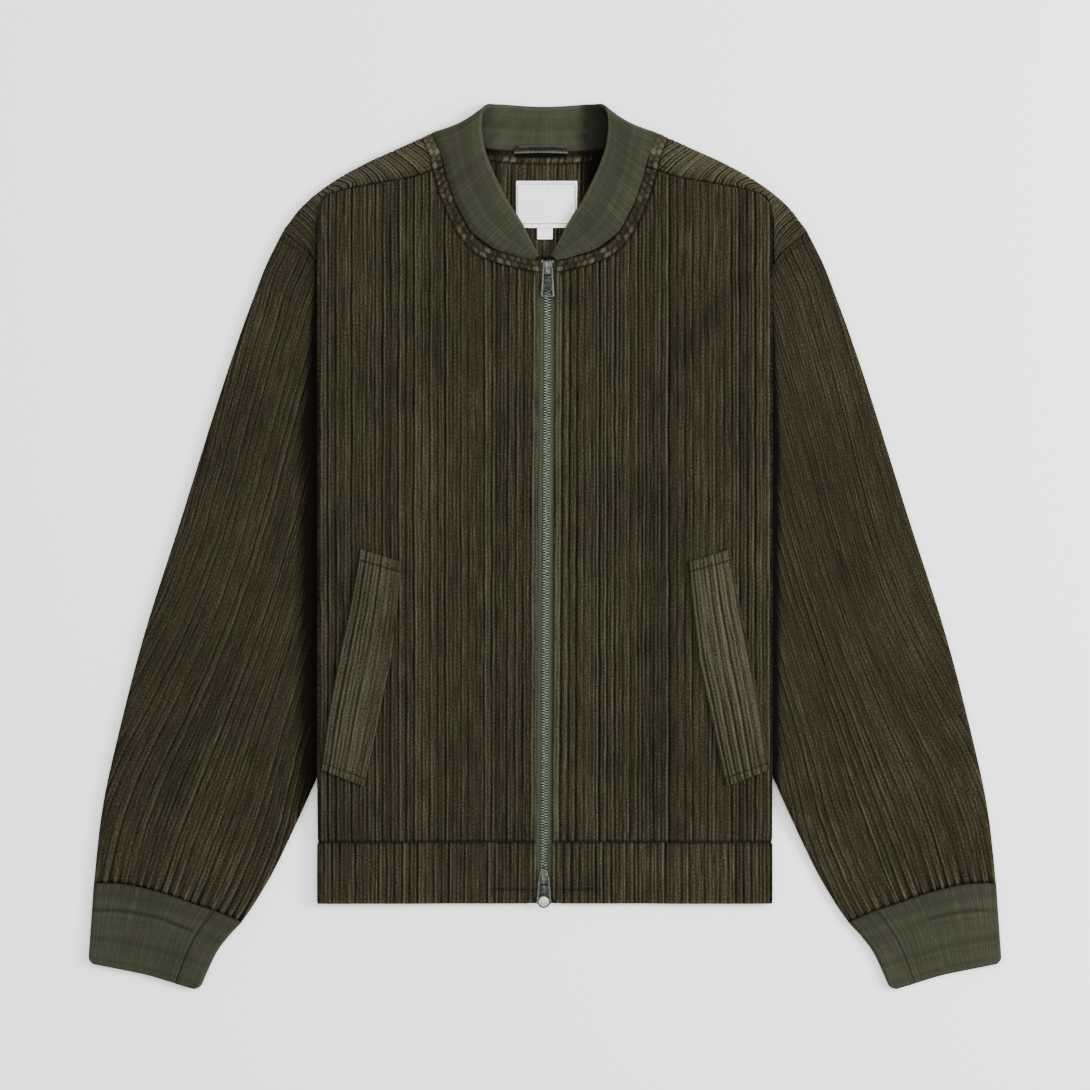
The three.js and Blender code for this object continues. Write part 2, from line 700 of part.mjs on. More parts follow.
function hangerLoop() {
  const low = FACING_TOP_Z + SEAM_GAP + LOOP.thickness / 2;
  const grid = steps(10).map((t) => [-1, 1].map((edge) => {
    const z = low + LOOP.rise * Math.sin(Math.PI * t);
    return new THREE.Vector3(mix(LOOP.left, LOOP.right, t), LOOP.h + (edge * LOOP.width) / 2, z);
  }));
  return wall(grid, { thickness: LOOP.thickness });
}

// Pocket welts, made from the front's own surface, moved out

function pocketWelt(side) {
  const count = 12;
  const rows = steps(10);
  const table = WELT.map((row, i) => ({ ...row, v: i / (WELT.length - 1) }));
  const grid = steps(count).map((u) => rows.map((v) => {
    const x = mix(read(table, 'v', v, 'innerX'), read(table, 'v', v, 'outerX'), u);
    const h = mix(read(table, 'v', v, 'innerH'), read(table, 'v', v, 'outerH'), u);
    return new THREE.Vector3(side * x, h, frontZ(x, h) + WELT_LIFT);
  }));
  return wall(grid, { relief: (i) => 0.7 * waleRelief(i), kept: (i) => i % 4 === 0, flip: -side });
}

// Zip

function zipTape(side) {
  const grid = [TAPE.inner, (TAPE.inner + TAPE.outer) / 2, TAPE.outer].map((x) => (
    [TAPE.bottom, 200, 400, TAPE.top].map((h) => new THREE.Vector3(side * x + zipX(h), h, TAPE.z))
  ));
  return wall(grid, { thickness: TAPE.thickness, flip: side });
}

function zipChain() {
  const ends = SLIDER.length / 2 + SEAM_GAP;
  const [bottom, top] = [BOTTOM_SLIDER_H + ends, TOP_SLIDER_H - ends];
  const z = (CHAIN.bottomZ + CHAIN.topZ) / 2;
  const grid = [-0.5, 0.5].map((edge) => (
    [bottom, 200, 400, top].map((h) => new THREE.Vector3(zipX(h) + edge * CHAIN.width, h, z))
  ));
  return wall(grid, { thickness: CHAIN.topZ - CHAIN.bottomZ });
}

function roundedOutline(rows) {
  const shape = new THREE.Shape();
  rows.forEach(([x, y], i) => (i === 0 ? shape.moveTo(x, y) : shape.lineTo(x, y)));
  shape.closePath();
  return shape;
}

function slider(centreH) {
  const { width, length } = SLIDER;
  const outline = roundedOutline([
    [-0.32 * width, -0.5 * length],
    [0.32 * width, -0.5 * length],
    [0.5 * width, 0],
    [0.44 * width, 0.42 * length],
    [0.3 * width, 0.5 * length],
    [-0.3 * width, 0.5 * length],
    [-0.44 * width, 0.42 * length],
    [-0.5 * width, 0],
  ]);
  const depth = SLIDER.topZ - SLIDER.bottomZ;
  const body = new THREE.ExtrudeGeometry(outline, { depth, bevelEnabled: false });
  body.translate(0, 0, SLIDER.bottomZ);
  const rise = BRIDGE.clear + BRIDGE.thickness;
  const beamZ = SLIDER.topZ + BRIDGE.clear + BRIDGE.thickness / 2;
  const legZ = SLIDER.topZ + rise / 2 - 0.1;
  const legY = (BRIDGE.length - BRIDGE.leg) / 2;
  const beam = block(BRIDGE.width, BRIDGE.length, BRIDGE.thickness, 0, 0, beamZ);
  const legs = [-legY, legY].map((y) => block(BRIDGE.width, BRIDGE.leg, rise + 0.2, 0, y, legZ));
  return join(body, beam, ...legs).translate(zipX(centreH), centreH, 0);
}

// A pull tab hangs on the slider's bridge by the bar across the top of its frame
const PULL_AXIS_Z = SLIDER.topZ + BRIDGE.clear / 2;

function pullTab(centreH, outline, windows) {
  const plate = new THREE.Shape(outline.map(([x, y]) => new THREE.Vector2(x, y)));
  for (const ring of windows) plate.holes.push(new THREE.Path(ring.map(([x, y]) => new THREE.Vector2(x, y))));
  const geometry = new THREE.ExtrudeGeometry(plate, { depth: PULL_THICKNESS, bevelEnabled: false });
  geometry.deleteAttribute('normal');
  geometry.deleteAttribute('uv');
  const merged = mergeVertices(geometry, 1e-4);
  return merged.translate(zipX(centreH), centreH, PULL_AXIS_Z - PULL_THICKNESS / 2);
}

// The window that the slider's bridge passes through. The bar above it is as thick as the plate.
const BAR = PULL_THICKNESS;
const bridgeWindow = [
  [-1.9, -BAR / 2 - 4.5],
  [1.9, -BAR / 2 - 4.5],
  [1.9, -BAR / 2],
  [-1.9, -BAR / 2],
];

function topPull() {
  const outline = [
    [-3.3, BAR / 2],
    [-4.3, -0.6],
    [-4.7, -12],
    [-5.7, -23.4],
    [-4.7, -25],
    [4.7, -25],
    [5.7, -23.4],
    [4.7, -12],
    [4.3, -0.6],
    [3.3, BAR / 2],
  ];
  const slot = [
    [-2.6, -22],
    [2.6, -22],
    [2.6, -18],
    [-2.6, -18],
  ];
  return pullTab(TOP_SLIDER_H, outline, [bridgeWindow, slot]);
}

function bottomPull() {
  const outline = [
    [-3.3, BAR / 2],
    [-5.4, -0.8],
    [-6, -8],
    ...steps(12, 200, 340).map((degrees) => {
      const angle = (degrees * Math.PI) / 180;
      return [7.7 * Math.cos(angle), -18.6 + 8 * Math.sin(angle)];
    }),
    [6, -8],
    [5.4, -0.8],
    [3.3, BAR / 2],
  ];
  return pullTab(BOTTOM_SLIDER_H, outline, [bridgeWindow]);
}

// Assembly

function material(colour, roughness, metalness = 0) {
  return () => new THREE.MeshStandardMaterial({ color: colour, roughness, metalness });
}

const corduroy = material(COLOURS.corduroy, 0.95);
const knit = material(COLOURS.knit, 0.9);
const tape = material(COLOURS.tape, 0.85);
const label = material(COLOURS.label, 0.8);
const teeth = material(COLOURS.teeth, 0.35, 0.9);
const metal = material(COLOURS.metal, 0.4, 0.9);

const jacket = new THREE.Group();

function add(name, geometry, finish) {
  const mesh = new THREE.Mesh(geometry, finish());
  mesh.name = name;
  jacket.add(mesh);
}

add('back_panel', backPanel(), corduroy);
add('hem_band_back', backHemBand(), corduroy);
add('collar', collar(), knit);
add('back_neck_facing', backNeckFacing(), corduroy);
add('neck_label', flatLabel(LABEL.left, LABEL.right, LABEL.bottom, LABEL.top, LABEL.thickness), label);
add('size_tab', flatLabel(SIZE_TAB.left, SIZE_TAB.right, SIZE_TAB.bottom, LABEL.bottom - SEAM_GAP, 1), label);
add('hanger_loop', hangerLoop(), tape);
for (const [name, side] of [['left', -1], ['right', 1]]) {
  add(`front_${name}`, frontPanel(side), corduroy);
  add(`hem_band_${name}`, frontHemBand(side), corduroy);
  add(`sleeve_${name}`, sleeve(side), corduroy);
  add(`cuff_${name}`, cuff(side), knit);
  add(`pocket_welt_${name}`, pocketWelt(side), corduroy);
  add(`zip_tape_${name}`, zipTape(side), tape);
}
add('zip_chain', zipChain(), teeth);
add('zip_slider_top', slider(TOP_SLIDER_H), metal);
add('zip_slider_bottom', slider(BOTTOM_SLIDER_H), metal);
add('zip_pull_top', topPull(), metal);
add('zip_pull_bottom', bottomPull(), metal);

// The origin is at the bottom centre of the whole jacket's box
const box = new THREE.Box3().setFromObject(jacket);
const centre = box.getCenter(new THREE.Vector3());
jacket.position.set(-centre.x, -centre.y, -box.min.z);

export default jacket;
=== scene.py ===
"""A wide-wale corduroy bomber jacket with a knitted collar and cuffs, laid flat on its back.

The jacket's plan is drawn in millimetres, as x from the centre line and h above the hem's edge.
Every finished mesh is in metres, in the frame's own axes.
"""

import logging
import math
from dataclasses import dataclass
from enum import Enum
from typing import Callable, Optional, Sequence

import bmesh
import bpy
import numpy as np
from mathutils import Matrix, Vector


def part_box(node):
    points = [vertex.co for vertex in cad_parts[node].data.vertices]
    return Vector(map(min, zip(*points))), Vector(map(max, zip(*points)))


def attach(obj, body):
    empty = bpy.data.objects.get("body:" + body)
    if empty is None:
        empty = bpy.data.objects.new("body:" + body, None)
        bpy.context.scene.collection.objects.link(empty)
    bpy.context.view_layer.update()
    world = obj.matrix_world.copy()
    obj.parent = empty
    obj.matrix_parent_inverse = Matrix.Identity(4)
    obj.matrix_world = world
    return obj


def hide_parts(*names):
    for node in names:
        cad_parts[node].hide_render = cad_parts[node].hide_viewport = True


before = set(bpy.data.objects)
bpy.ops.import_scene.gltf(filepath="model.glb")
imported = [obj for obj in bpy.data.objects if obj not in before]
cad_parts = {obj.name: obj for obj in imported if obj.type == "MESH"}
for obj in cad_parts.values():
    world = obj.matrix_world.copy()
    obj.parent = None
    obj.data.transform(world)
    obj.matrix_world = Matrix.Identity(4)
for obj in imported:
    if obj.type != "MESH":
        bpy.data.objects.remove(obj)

logging.basicConfig(level=logging.INFO, format="%(message)s")
LOG = logging.getLogger("jacket")

MM = 0.001
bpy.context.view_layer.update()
HEM_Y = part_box("hem_band_back")[0][1]  # the frame's Y at the hem's edge

Array = np.ndarray
Triple = tuple[float, float, float]
Color = Triple


class Side(Enum):
    """The half of the jacket that a piece belongs to, as seen from above."""

    LEFT = -1
    RIGHT = 1

    @property
    def label(self) -> str:
        """The side's word in the names of pieces."""
        return self.name.lower()


# Sizes in millimetres, the same as the solids'

CLOTH = 1.4
KNIT = 2.2
WALE_PITCH = 6.8
WALE_HEIGHT = 0.8
SEAM_GAP = 0.3
FRONT_FOLD_X = 197.0
BACK_FOLD_X = 195.0
FOLD_RADIUS = 0.9
GUSSET_DEPTH = 73.0
HEM_BAND = 54.0
HEM_CORNER = 9.0
HEM_EXTRA = 0.4
ZIP_HALF_OPENING = 7.0
BACK_Z = CLOTH / 2
CENTRE_Z = 3.7
NECK_Z = 5.2
SIDE_Z = 10.6
SIDE_HEM_Z = 6.1
SHOULDER_Z = 6.0
WELT_LIFT = 2.95
TOP_SLIDER_H = 557.0
BOTTOM_SLIDER_H = 23.6
ARMHOLE_LOW = 430.0
ARMHOLE_TOP = 588.0
ARMHOLE_LENGTH = 190.0
SLEEVE_LENGTH = 610.0
CUFF_WIDTH = 118.0
CUFF_LENGTH = 62.0
COLLAR_WIDTH = 40.0
WELT_WIDTH = 39.0
WELT_LENGTH = 200.0
WRAP_LENGTH = 163.0
WRAP_START_X = 98.8
NECK_CORNER_X = 88.3
STITCH_PITCH = 3.2
FACING_TOP_Z = CLOTH + SEAM_GAP + 1 + 0.6 * WALE_HEIGHT
CIRCLE = 2 * math.pi


def ease(value: Array, start: float, end: float) -> Array:
    """A smooth step.

    Args:
        value: where to read the step.
        start: value at which it leaves 0.
        end: value at which it reaches 1.

    Returns:
        The step's height, from 0 to 1.
    """
    t = np.clip((np.asarray(value, float) - start) / (end - start), 0, 1)
    return t * t * (3 - 2 * t)


def mix(low: Array, high: Array, share: Array) -> Array:
    """Blend two values, by a share of the second from 0 to 1."""
    return low + (high - low) * share


def bump(value: Array, centre: float, width: float) -> Array:
    """A soft bump of height 1 at the centre, about as wide as twice the width."""
    return np.exp(-(((np.asarray(value, float) - centre) / width) ** 2))


def scatter(number: Array) -> Array:
    """A fixed pseudo-random value from 0 to 1 for each whole number."""
    wave = np.sin(np.asarray(number, float) * 12.9898 + 4.1) * 43758.5453
    return wave - np.floor(wave)


def drift(seed: Array, along: Array, spacing: float) -> Array:
    """Smooth noise along a line.

    Args:
        seed: a number for each line, so that lines differ.
        along: place along the line, in the spacing's units.
        spacing: distance between the noise's own points.

    Returns:
        Values from 0 to 1.
    """
    place = np.asarray(along, float) / spacing
    step = np.floor(place)
    share = ease(place - step, 0, 1)
    low = scatter(np.asarray(seed) * 57.3 + step)
    high = scatter(np.asarray(seed) * 57.3 + step + 1)
    return mix(low, high, share)


@dataclass(frozen=True)
class Outline:
    """A line in the jacket's plan, as the x and h of each of its points."""

    x: tuple[float, ...]
    h: tuple[float, ...]

    def read(self, key: str, at: Array, column: str) -> Array:
        """Read one column at a value of the other, with a smooth slope between rows."""
        keys = np.array(getattr(self, key), float)
        values = np.array(getattr(self, column), float)
        last = len(keys) - 1
        at = np.asarray(at, float)
        i = np.clip(np.searchsorted(keys, at, side="left") - 1, 0, last - 1)
        before = np.maximum(np.arange(last + 1) - 1, 0)
        after = np.minimum(np.arange(last + 1) + 1, last)
        slope = (values[after] - values[before]) / (keys[after] - keys[before])
        span = keys[i + 1] - keys[i]
        t = np.clip((at - keys[i]) / span, 0, 1)
        cubic = mix(values[i], values[i + 1], t * t * (3 - 2 * t))
        start = t * (1 - t) * (1 - t) * span * slope[i]
        return cubic + start + t * t * (t - 1) * span * slope[i + 1]

    def samples(self, count: int = 400) -> Array:
        """Evenly spaced points on a smooth curve through the outline's points."""
        points = np.array([self.x, self.h], float).T
        last = len(points) - 1
        place = np.linspace(0, last, 4 * count)
        i = np.minimum(place.astype(int), last - 1)
        t = (place - i)[:, None]
        p0, p1 = points[np.maximum(i - 1, 0)], points[i]
        p2, p3 = points[i + 1], points[np.minimum(i + 2, last)]
        v0, v1 = (p2 - p0) / 2, (p3 - p1) / 2
        curve = (2 * p1 - 2 * p2 + v0 + v1) * t**3 + (3 * p2 - 3 * p1 - 2 * v0 - v1) * t**2 + v0 * t + p1
        length = np.concatenate([[0], np.cumsum(np.linalg.norm(np.diff(curve, axis=0), axis=1))])
        even = np.linspace(0, length[-1], count)
        return np.array([np.interp(even, length, curve[:, k]) for k in (0, 1)]).T

    def at(self, share: Array) -> Array:
        """Points at shares of the curve's length, in a last axis of x and h."""
        samples = self.samples()
        place = np.clip(share, 0, 1) * (len(samples) - 1)
        steps = np.arange(len(samples))
        return np.stack([np.interp(place, steps, samples[:, k]) for k in (0, 1)], axis=-1)

    def reversed(self) -> "Outline":
        """The same line from its other end."""
        return Outline(self.x[::-1], self.h[::-1])


FRONT_NECK = Outline(x=(7, 14.8, 39, 56, 70, 81.3, 88.3), h=(563.4, 564.4, 570.5, 578.4, 595.9, 620.4, 644))
SHOULDER_SEAM = Outline(x=(88.3, 115, 142, 160, 174, 190, 198), h=(645.8, 637, 632, 629, 626, 621, 612))
BACK_NECK = Outline(x=(0, 33, 66, 94), h=(658.2, 659.4, 664.2, 674.8))
SHOULDER_EDGE = Outline(
    x=(94, 107.6, 129, 152.7, 172.4, 190, 203.4, 214.4, 222.3, 229.3),
    h=(676, 670, 660, 649.3, 639, 628, 617.8, 607.3, 597, 588),
)
ARMHOLE = Outline(
    x=(120, 127, 148, 181, 199.5, 207.4, 218, 229.3), h=(430, 455, 490, 535, 560, 571, 580, 588)
)
SLEEVE_OUTER = Outline(
    x=(229.3, 243.3, 255.5, 268.2, 285.7, 318.5, 351.8, 378.4, 388.5, 394.5),
    h=(588, 560, 528.5, 493.5, 441, 336, 231, 126, 73.5, 17.8),
)
SLEEVE_INNER = Outline(
    x=(120, 134, 151, 175, 199.5, 233.6, 253.3, 266.5), h=(430, 353, 266, 178.5, 113, 38.5, 3.5, -15.8)
)
CUFF_SEAM = Outline(x=(394.5, 371.8, 349.5, 328, 306, 290.4, 266.5), h=(17.8, 17.3, 13, 7, -0.9, -6, -15.8))
CUFF_EDGE = Outline(x=(399.4, 371.8, 347.3, 324, 304), h=(-52.5, -57.8, -63, -70, -76))
CUFF_INNER = Outline(x=(266.5, 279.5, 290.4, 304), h=(-15.8, -29.8, -45.5, -76))
CUFF_OUTER = Outline(x=(394.5, 399.4), h=(17.8, -52.5))
WRAP_SEAM = Outline(
    x=(88.7, 115, 142, 160, 174, 187, 194.5, 199.4, 200.2, 200.2, 200, 200.3),
    h=(646.1, 637, 632, 629, 626, 622.3, 618.8, 614.8, 608, 597, 580, 561.6),
)
WRAP_NECK = Outline(x=(88.7, 91, 94.6, 98.8), h=(646.1, 656, 665.5, 673.6))


def zip_x(h: Array) -> Array:
    """The zip's middle line, which leans a little."""
    return mix(-1.2, 2.3, np.asarray(h, float) / 562)


def gusset(h: Array) -> Array:
    """How deep the cloth is folded in at the sides."""
    return GUSSET_DEPTH * (1 - ease(h, 400, 530))


def side_z(h: Array) -> Array:
    """Middle height of the front at its side fold."""
    lower = mix(SIDE_HEM_Z, SIDE_Z, ease(h, 52, 92))
    return mix(lower, SHOULDER_Z, np.clip((h - 562) / 59, 0, 1))


def front_z(x: Array, h: Array) -> Array:
    """Middle height of the front panels, which sag between the folded sides."""
    centre = mix(CENTRE_Z, NECK_Z, ease(h, 470, 555))
    arm = ARMHOLE.read("h", np.clip(h, ARMHOLE_LOW, ARMHOLE_TOP), "x")
    edge = np.where(h <= ARMHOLE_LOW, 120, np.minimum(188, arm - 2))
    share = np.clip((x - (edge - 34)) / 31, 0, 1)
    share = share * share * (3 - 2 * share)
    swell = 0.25 * np.sin(x / 23 + h / 95) * ease(x, 20, 60) * (1 - ease(x, 90, 120))
    return mix(centre, side_z(h), share) + swell


def sleeve_z(x: Array, h: Array) -> tuple[Array, Array]:
    """Middle heights of a sleeve's lower and upper walls."""
    under = 1 - ease(x, 212, 240)
    lift = 1.8 * ease(h, 552, 580)
    return mix(BACK_Z, 4.3 - lift, under), mix(4.1, 6.3 - lift, under)


def front_top(x: Array) -> Array:
    """Height of a front's upper edge: the neck seam, then the shoulder seam."""
    neck = FRONT_NECK.read("x", np.minimum(x, NECK_CORNER_X), "h")
    seam = SHOULDER_SEAM.read("x", np.clip(x, NECK_CORNER_X, 198), "h") - 2 * SEAM_GAP
    return np.where(x < NECK_CORNER_X, neck, seam)


@dataclass
class Wales:
    """The ridges of the corduroy: strong grooves, a weaker one between each two, and fine lines."""

    groove: float = 0.85
    split: float = 0.5
    groove_width: float = 0.85
    split_width: float = 0.62
    line: float = 1.13
    pitch: float = WALE_PITCH

    def relief(self, across: Array, along: Array) -> tuple[Array, Array]:
        """Height and colour of the pile.

        Args:
            across: place across the wales, in millimetres.
            along: place along them.

        Returns:
            The height above the wall, and the pile's colour value from 0 in a groove to 1 on a crest,
            darkened in the grooves as painted shade and lit on one side of each groove as a painted
            highlight.
        """
        wobble = 0.7 * (drift(3, along + 9 * across, 70) - 0.5) + 0.5 * (drift(11, along, 23) - 0.5)
        place = (across + wobble) / self.pitch
        index = np.round(place)
        cell = np.floor(place)
        offset = (place - index) * self.pitch
        middle = (place - cell - 0.4 - 0.2 * scatter(cell + 77)) * self.pitch
        weight = 0.24 + 0.84 * scatter(index) ** 1.25 + 0.6 * (drift(index, along, 44) - 0.5)
        weak = (0.2 + 0.8 * scatter(cell + 400)) * (0.45 + 0.75 * drift(cell + 400, along, 48))
        # The colour is darkened in the grooves, cut and slit, as painted shade, and rim paints a highlight
        # on one side of each groove; the fine lines are the cloth's own tone.
        cut = weight * bump(offset, 0, self.groove_width)
        slit = weak * bump(middle, 0, self.split_width)
        rim = bump(offset, -1.7, 0.75) * weight + 0.7 * weak * bump(middle, -1.35, 0.7)
        thread = np.floor((across + wobble) / self.line)
        lines = scatter(thread + 31) - 0.5 + 0.8 * (drift(thread, along, 17) - 0.5)
        height = WALE_HEIGHT * (1 - self.groove * cut - self.split * slit + 0.07 * lines)
        shade = 0.61 - 0.8 * cut - 0.5 * slit + 0.42 * rim + 0.32 * lines
        return height, np.clip(shade, 0, 1.2)


WALES = Wales()
SLEEVE_WALES = Wales(groove=0.6, split=0.42, groove_width=0.66, split_width=0.52, pitch=5.5)


def unit(vectors: Array) -> Array:
    """Vectors at length 1."""
    length = np.linalg.norm(vectors, axis=-1, keepdims=True)
    return vectors / np.maximum(length, 1e-12)


def points_at(x: Array, h: Array, z: Array | float) -> Array:
    """Points in a last axis of x, h and z."""
    return np.stack(np.broadcast_arrays(x, h, z), axis=-1)


@dataclass
class Sheet:
    """A cloth wall drawn as a grid over its middle surface, fine outside and plainer inside.

    Attributes:
        points: the middle surface in millimetres, columns by rows by x, h and z.
        height: relief of the outer side, one number or columns by rows, as all that follow.
        shade: the pile's colour value, darkened in grooves, creases and gaps as painted shade, with painted
            highlights beside some of them.
        across: place across the weave, for the UV map.
        along: place along the weave, for the UV map.
        wear_and_painted_light: how much paler or darker the colour is, from -1 to 1: paler where cloth is
            rubbed, and also painted shadows and painted highlights.
        thickness: the wall's own thickness.
        closed: True round a tube.
        every: the inner side keeps one column in this many.
        folds: columns that the inner side also keeps.
        turn: 1, or -1 where the grid runs the other way.
    """

    points: Array
    height: Array | float
    shade: Array | float
    across: Array
    along: Array
    wear_and_painted_light: Array | float = 0.0
    thickness: float = CLOTH
    closed: bool = False
    every: int = 8
    folds: Sequence[int] = ()
    turn: int = 1

    def normals(self) -> Array:
        """The direction in which each point of the grid faces."""
        p = self.points
        ahead = unit(np.roll(p, -1, axis=0) - p)
        behind = unit(p - np.roll(p, 1, axis=0))
        if not self.closed:
            ahead[-1] = 0
            behind[0] = 0
        across = unit(ahead + behind)
        along = np.zeros_like(p)
        along[:, :-1] += unit(p[:, 1:] - p[:, :-1])
        along[:, 1:] += unit(p[:, 1:] - p[:, :-1])
        return unit(np.cross(across, unit(along))) * self.turn

    def build(self, name: str) -> bpy.types.Object:
        """Make the mesh, with its UV map and its pile and wear attributes, which also carry painted shade
        and painted highlights.

        Args:
            name: the new piece's name.

        Returns:
            The piece, in metres, at the frame's place.
        """
        columns, rows = self.points.shape[:2]
        normal = self.normals()
        lift = np.broadcast_to(self.thickness / 2 + self.height, (columns, rows))
        outer = self.points + normal * lift[..., None]
        keep = sorted(
            set(range(0, columns, self.every)) | {0, columns - 1} | {i % columns for i in self.folds}
        )
        inner = (self.points - normal * self.thickness / 2)[keep]
        spots = np.concatenate([outer.reshape(-1, 3), inner.reshape(-1, 3)]) * MM
        spots[:, 1] += HEM_Y
        faces = self.faces(columns, rows, keep)
        mesh = bpy.data.meshes.new(name)
        mesh.from_pydata(spots.tolist(), [], faces)
        mesh.validate()
        for key, value in (("pile", self.shade), ("wear_and_painted_light", self.wear_and_painted_light)):
            layer = mesh.attributes.new(key, "FLOAT", "POINT")
            layer.data.foreach_set("value", self.spread(value, keep).astype(np.float32))
        uv = mesh.uv_layers.new(name="UVMap")
        corners = np.empty(len(mesh.loops), np.int32)
        mesh.loops.foreach_get("vertex_index", corners)
        pairs = np.stack([self.spread(self.across, keep), self.spread(self.along, keep)], axis=-1) * MM
        uv.data.foreach_set("uv", pairs[corners].astype(np.float32).ravel())
        piece = bpy.data.objects.new(name, mesh)
        bpy.context.scene.collection.objects.link(piece)
        face_out(piece)
        mesh.shade_smooth()
        return piece

    def spread(self, values: Array | float, keep: Sequence[int]) -> Array:
        """Values of the outer points, then of the inner ones."""
        full = np.broadcast_to(values, self.points.shape[:2])
        return np.concatenate([full.ravel(), full[list(keep)].ravel()])

    def faces(self, columns: int, rows: int, keep: Sequence[int]) -> list[tuple[int, ...]]:
        """Faces of the outer side, the inner side and the rims between them."""
        out: list[tuple[int, ...]] = []
        base = columns * rows

        def o(i: int, j: int) -> int:
            """The outer point's number at a column and row."""
            return (i % columns) * rows + j

        def n(k: int, j: int) -> int:
            """The inner point's number at a kept column and row."""
            return base + (k % len(keep)) * rows + j

        for i in range(columns if self.closed else columns - 1):
            out += [(o(i, j), o(i + 1, j), o(i + 1, j + 1), o(i, j + 1)) for j in range(rows - 1)]
        for k in range(len(keep) if self.closed else len(keep) - 1):
            out += [(n(k, j), n(k, j + 1), n(k + 1, j + 1), n(k + 1, j)) for j in range(rows - 1)]
            stop = keep[k + 1] if k + 1 < len(keep) else columns
            for j, forward in ((0, True), (rows - 1, False)):
                rim = [(n(k, j), o(i + 1, j), o(i, j)) for i in range(keep[k], stop)]
                rim.append((n(k, j), n(k + 1, j), o(stop, j)))
                out += rim if forward else [face[::-1] for face in rim]
        if not self.closed:
            last = len(keep) - 1
            for j in range(rows - 1):
                out.append((n(0, j), o(0, j), o(0, j + 1), n(0, j + 1)))
                out.append((o(columns - 1, j), n(last, j), n(last, j + 1), o(columns - 1, j + 1)))
        return out


def face_out(piece: bpy.types.Object) -> None:
    """Turn a closed mesh inside out if its faces point in."""
    shape = bmesh.new()
    shape.from_mesh(piece.data)
    if shape.calc_volume(signed=True) < 0:
        bmesh.ops.reverse_faces(shape, faces=shape.faces)
        shape.to_mesh(piece.data)
    shape.free()


class Graph:
    """A material's nodes, ending in one Principled shader."""

    def __init__(self, name: str) -> None:
        """Start an empty material.

        Args:
            name: the material's name.
        """
        self.material = bpy.data.materials.new(name)
        self.material.use_nodes = True
        self.tree = self.material.node_tree
        self.tree.nodes.clear()
        output = self.tree.nodes.new("ShaderNodeOutputMaterial")
        self.shader = self.tree.nodes.new("ShaderNodeBsdfPrincipled")
        self.tree.links.new(self.shader.outputs["BSDF"], output.inputs["Surface"])

    def node(self, kind: str, **inputs: object) -> bpy.types.Node:
        """Add a node, and set or link its inputs by name.

        Args:
            kind: the node's type without its ShaderNode prefix.
            inputs: values or output sockets; a name such as i0 is an input's number.

        Returns:
            The new node.
        """
        node = self.tree.nodes.new(f"ShaderNode{kind}")
        for key, value in inputs.items():
            socket = node.inputs[int(key[1:])] if key[0] == "i" and key[1:].isdigit() else node.inputs[key]
            self.put(socket, value)
        return node

    def put(self, socket: bpy.types.NodeSocket, value: object) -> None:
        """Give a socket a value, or link it to an output."""
        if isinstance(value, bpy.types.NodeSocket):
            self.tree.links.new(value, socket)
        else:
            socket.default_value = value

    def math(self, operation: str, first: object, second: object = 0.0) -> bpy.types.NodeSocket:
        """One arithmetic step, clamping nothing."""
        node = self.node("Math", i0=first, i1=second)
        node.operation = operation
        return node.outputs[0]

    def total(self, *layers: tuple[bpy.types.NodeSocket, float, float]) -> bpy.types.NodeSocket:
        """Add up layers, each a value, its weight and what is taken off it first."""
        sums: list[bpy.types.NodeSocket] = []
        for value, weight, middle in layers:
            if middle:
                value = self.math("SUBTRACT", value, middle)
            part = self.math("MULTIPLY", value, weight)
            sums.append(self.math("ADD", sums[-1], part) if sums else part)
        return sums[-1]

    def surface(self, **inputs: float) -> None:
        """Set the shader's inputs by name, an underscore for each space."""
        for name, value in inputs.items():
            self.shader.inputs[name.replace("_", " ")].default_value = value

    def attribute(self, name: str) -> bpy.types.NodeSocket:
        """A point attribute's number."""
        node = self.node("Attribute")
        node.attribute_name = name
        return node.outputs["Fac"]

    def noise(self, stretch: tuple[float, float], detail: float = 3.0) -> bpy.types.NodeSocket:
        """Noise on the piece's own UV map.

        Args:
            stretch: the noise's cells for each metre across and along.
            detail: its octaves.

        Returns:
            A value about 0.5.
        """
        place = self.node("Mapping", Vector=self.node("UVMap").outputs["UV"])
        place.inputs["Scale"].default_value = (stretch[0], stretch[1], 1)
        node = self.node("TexNoise", Vector=place.outputs["Vector"], Scale=1.0, Detail=detail)
        return node.outputs["Fac"]

    def mottle(self, scale: float, detail: float = 2.0) -> bpy.types.NodeSocket:
        """Noise on the object's own coordinates, in cells for each metre."""
        place = self.node("TexCoord").outputs["Object"]
        return self.node("TexNoise", Vector=place, Scale=scale, Detail=detail).outputs["Fac"]

    def ramp(self, value: object, stops: Sequence[tuple[float, Color]]) -> bpy.types.NodeSocket:
        """A colour for each value, from its stops."""
        node = self.node("ValToRGB", Fac=value)
        elements = node.color_ramp.elements
        for _ in range(len(stops) - 2):
            elements.new(0.5)
        for element, (place, _) in zip(elements, sorted(stops)):
            element.position = place
        for element, (_, color) in zip(elements, sorted(stops)):
            element.color = (*color, 1)
        return node.outputs["Color"]

    def raise_by(self, height: object, distance: float, strength: float) -> None:
        """Bump the shader's normal by a height."""
        node = self.node("Bump", Height=height, Distance=distance, Strength=strength)
        self.put(self.shader.inputs["Normal"], node.outputs["Normal"])

    def dress(self, piece: bpy.types.Object, slot: str) -> None:
        """Give a piece this material."""
        piece.data.materials.clear()
        piece.data.materials.append(self.material)


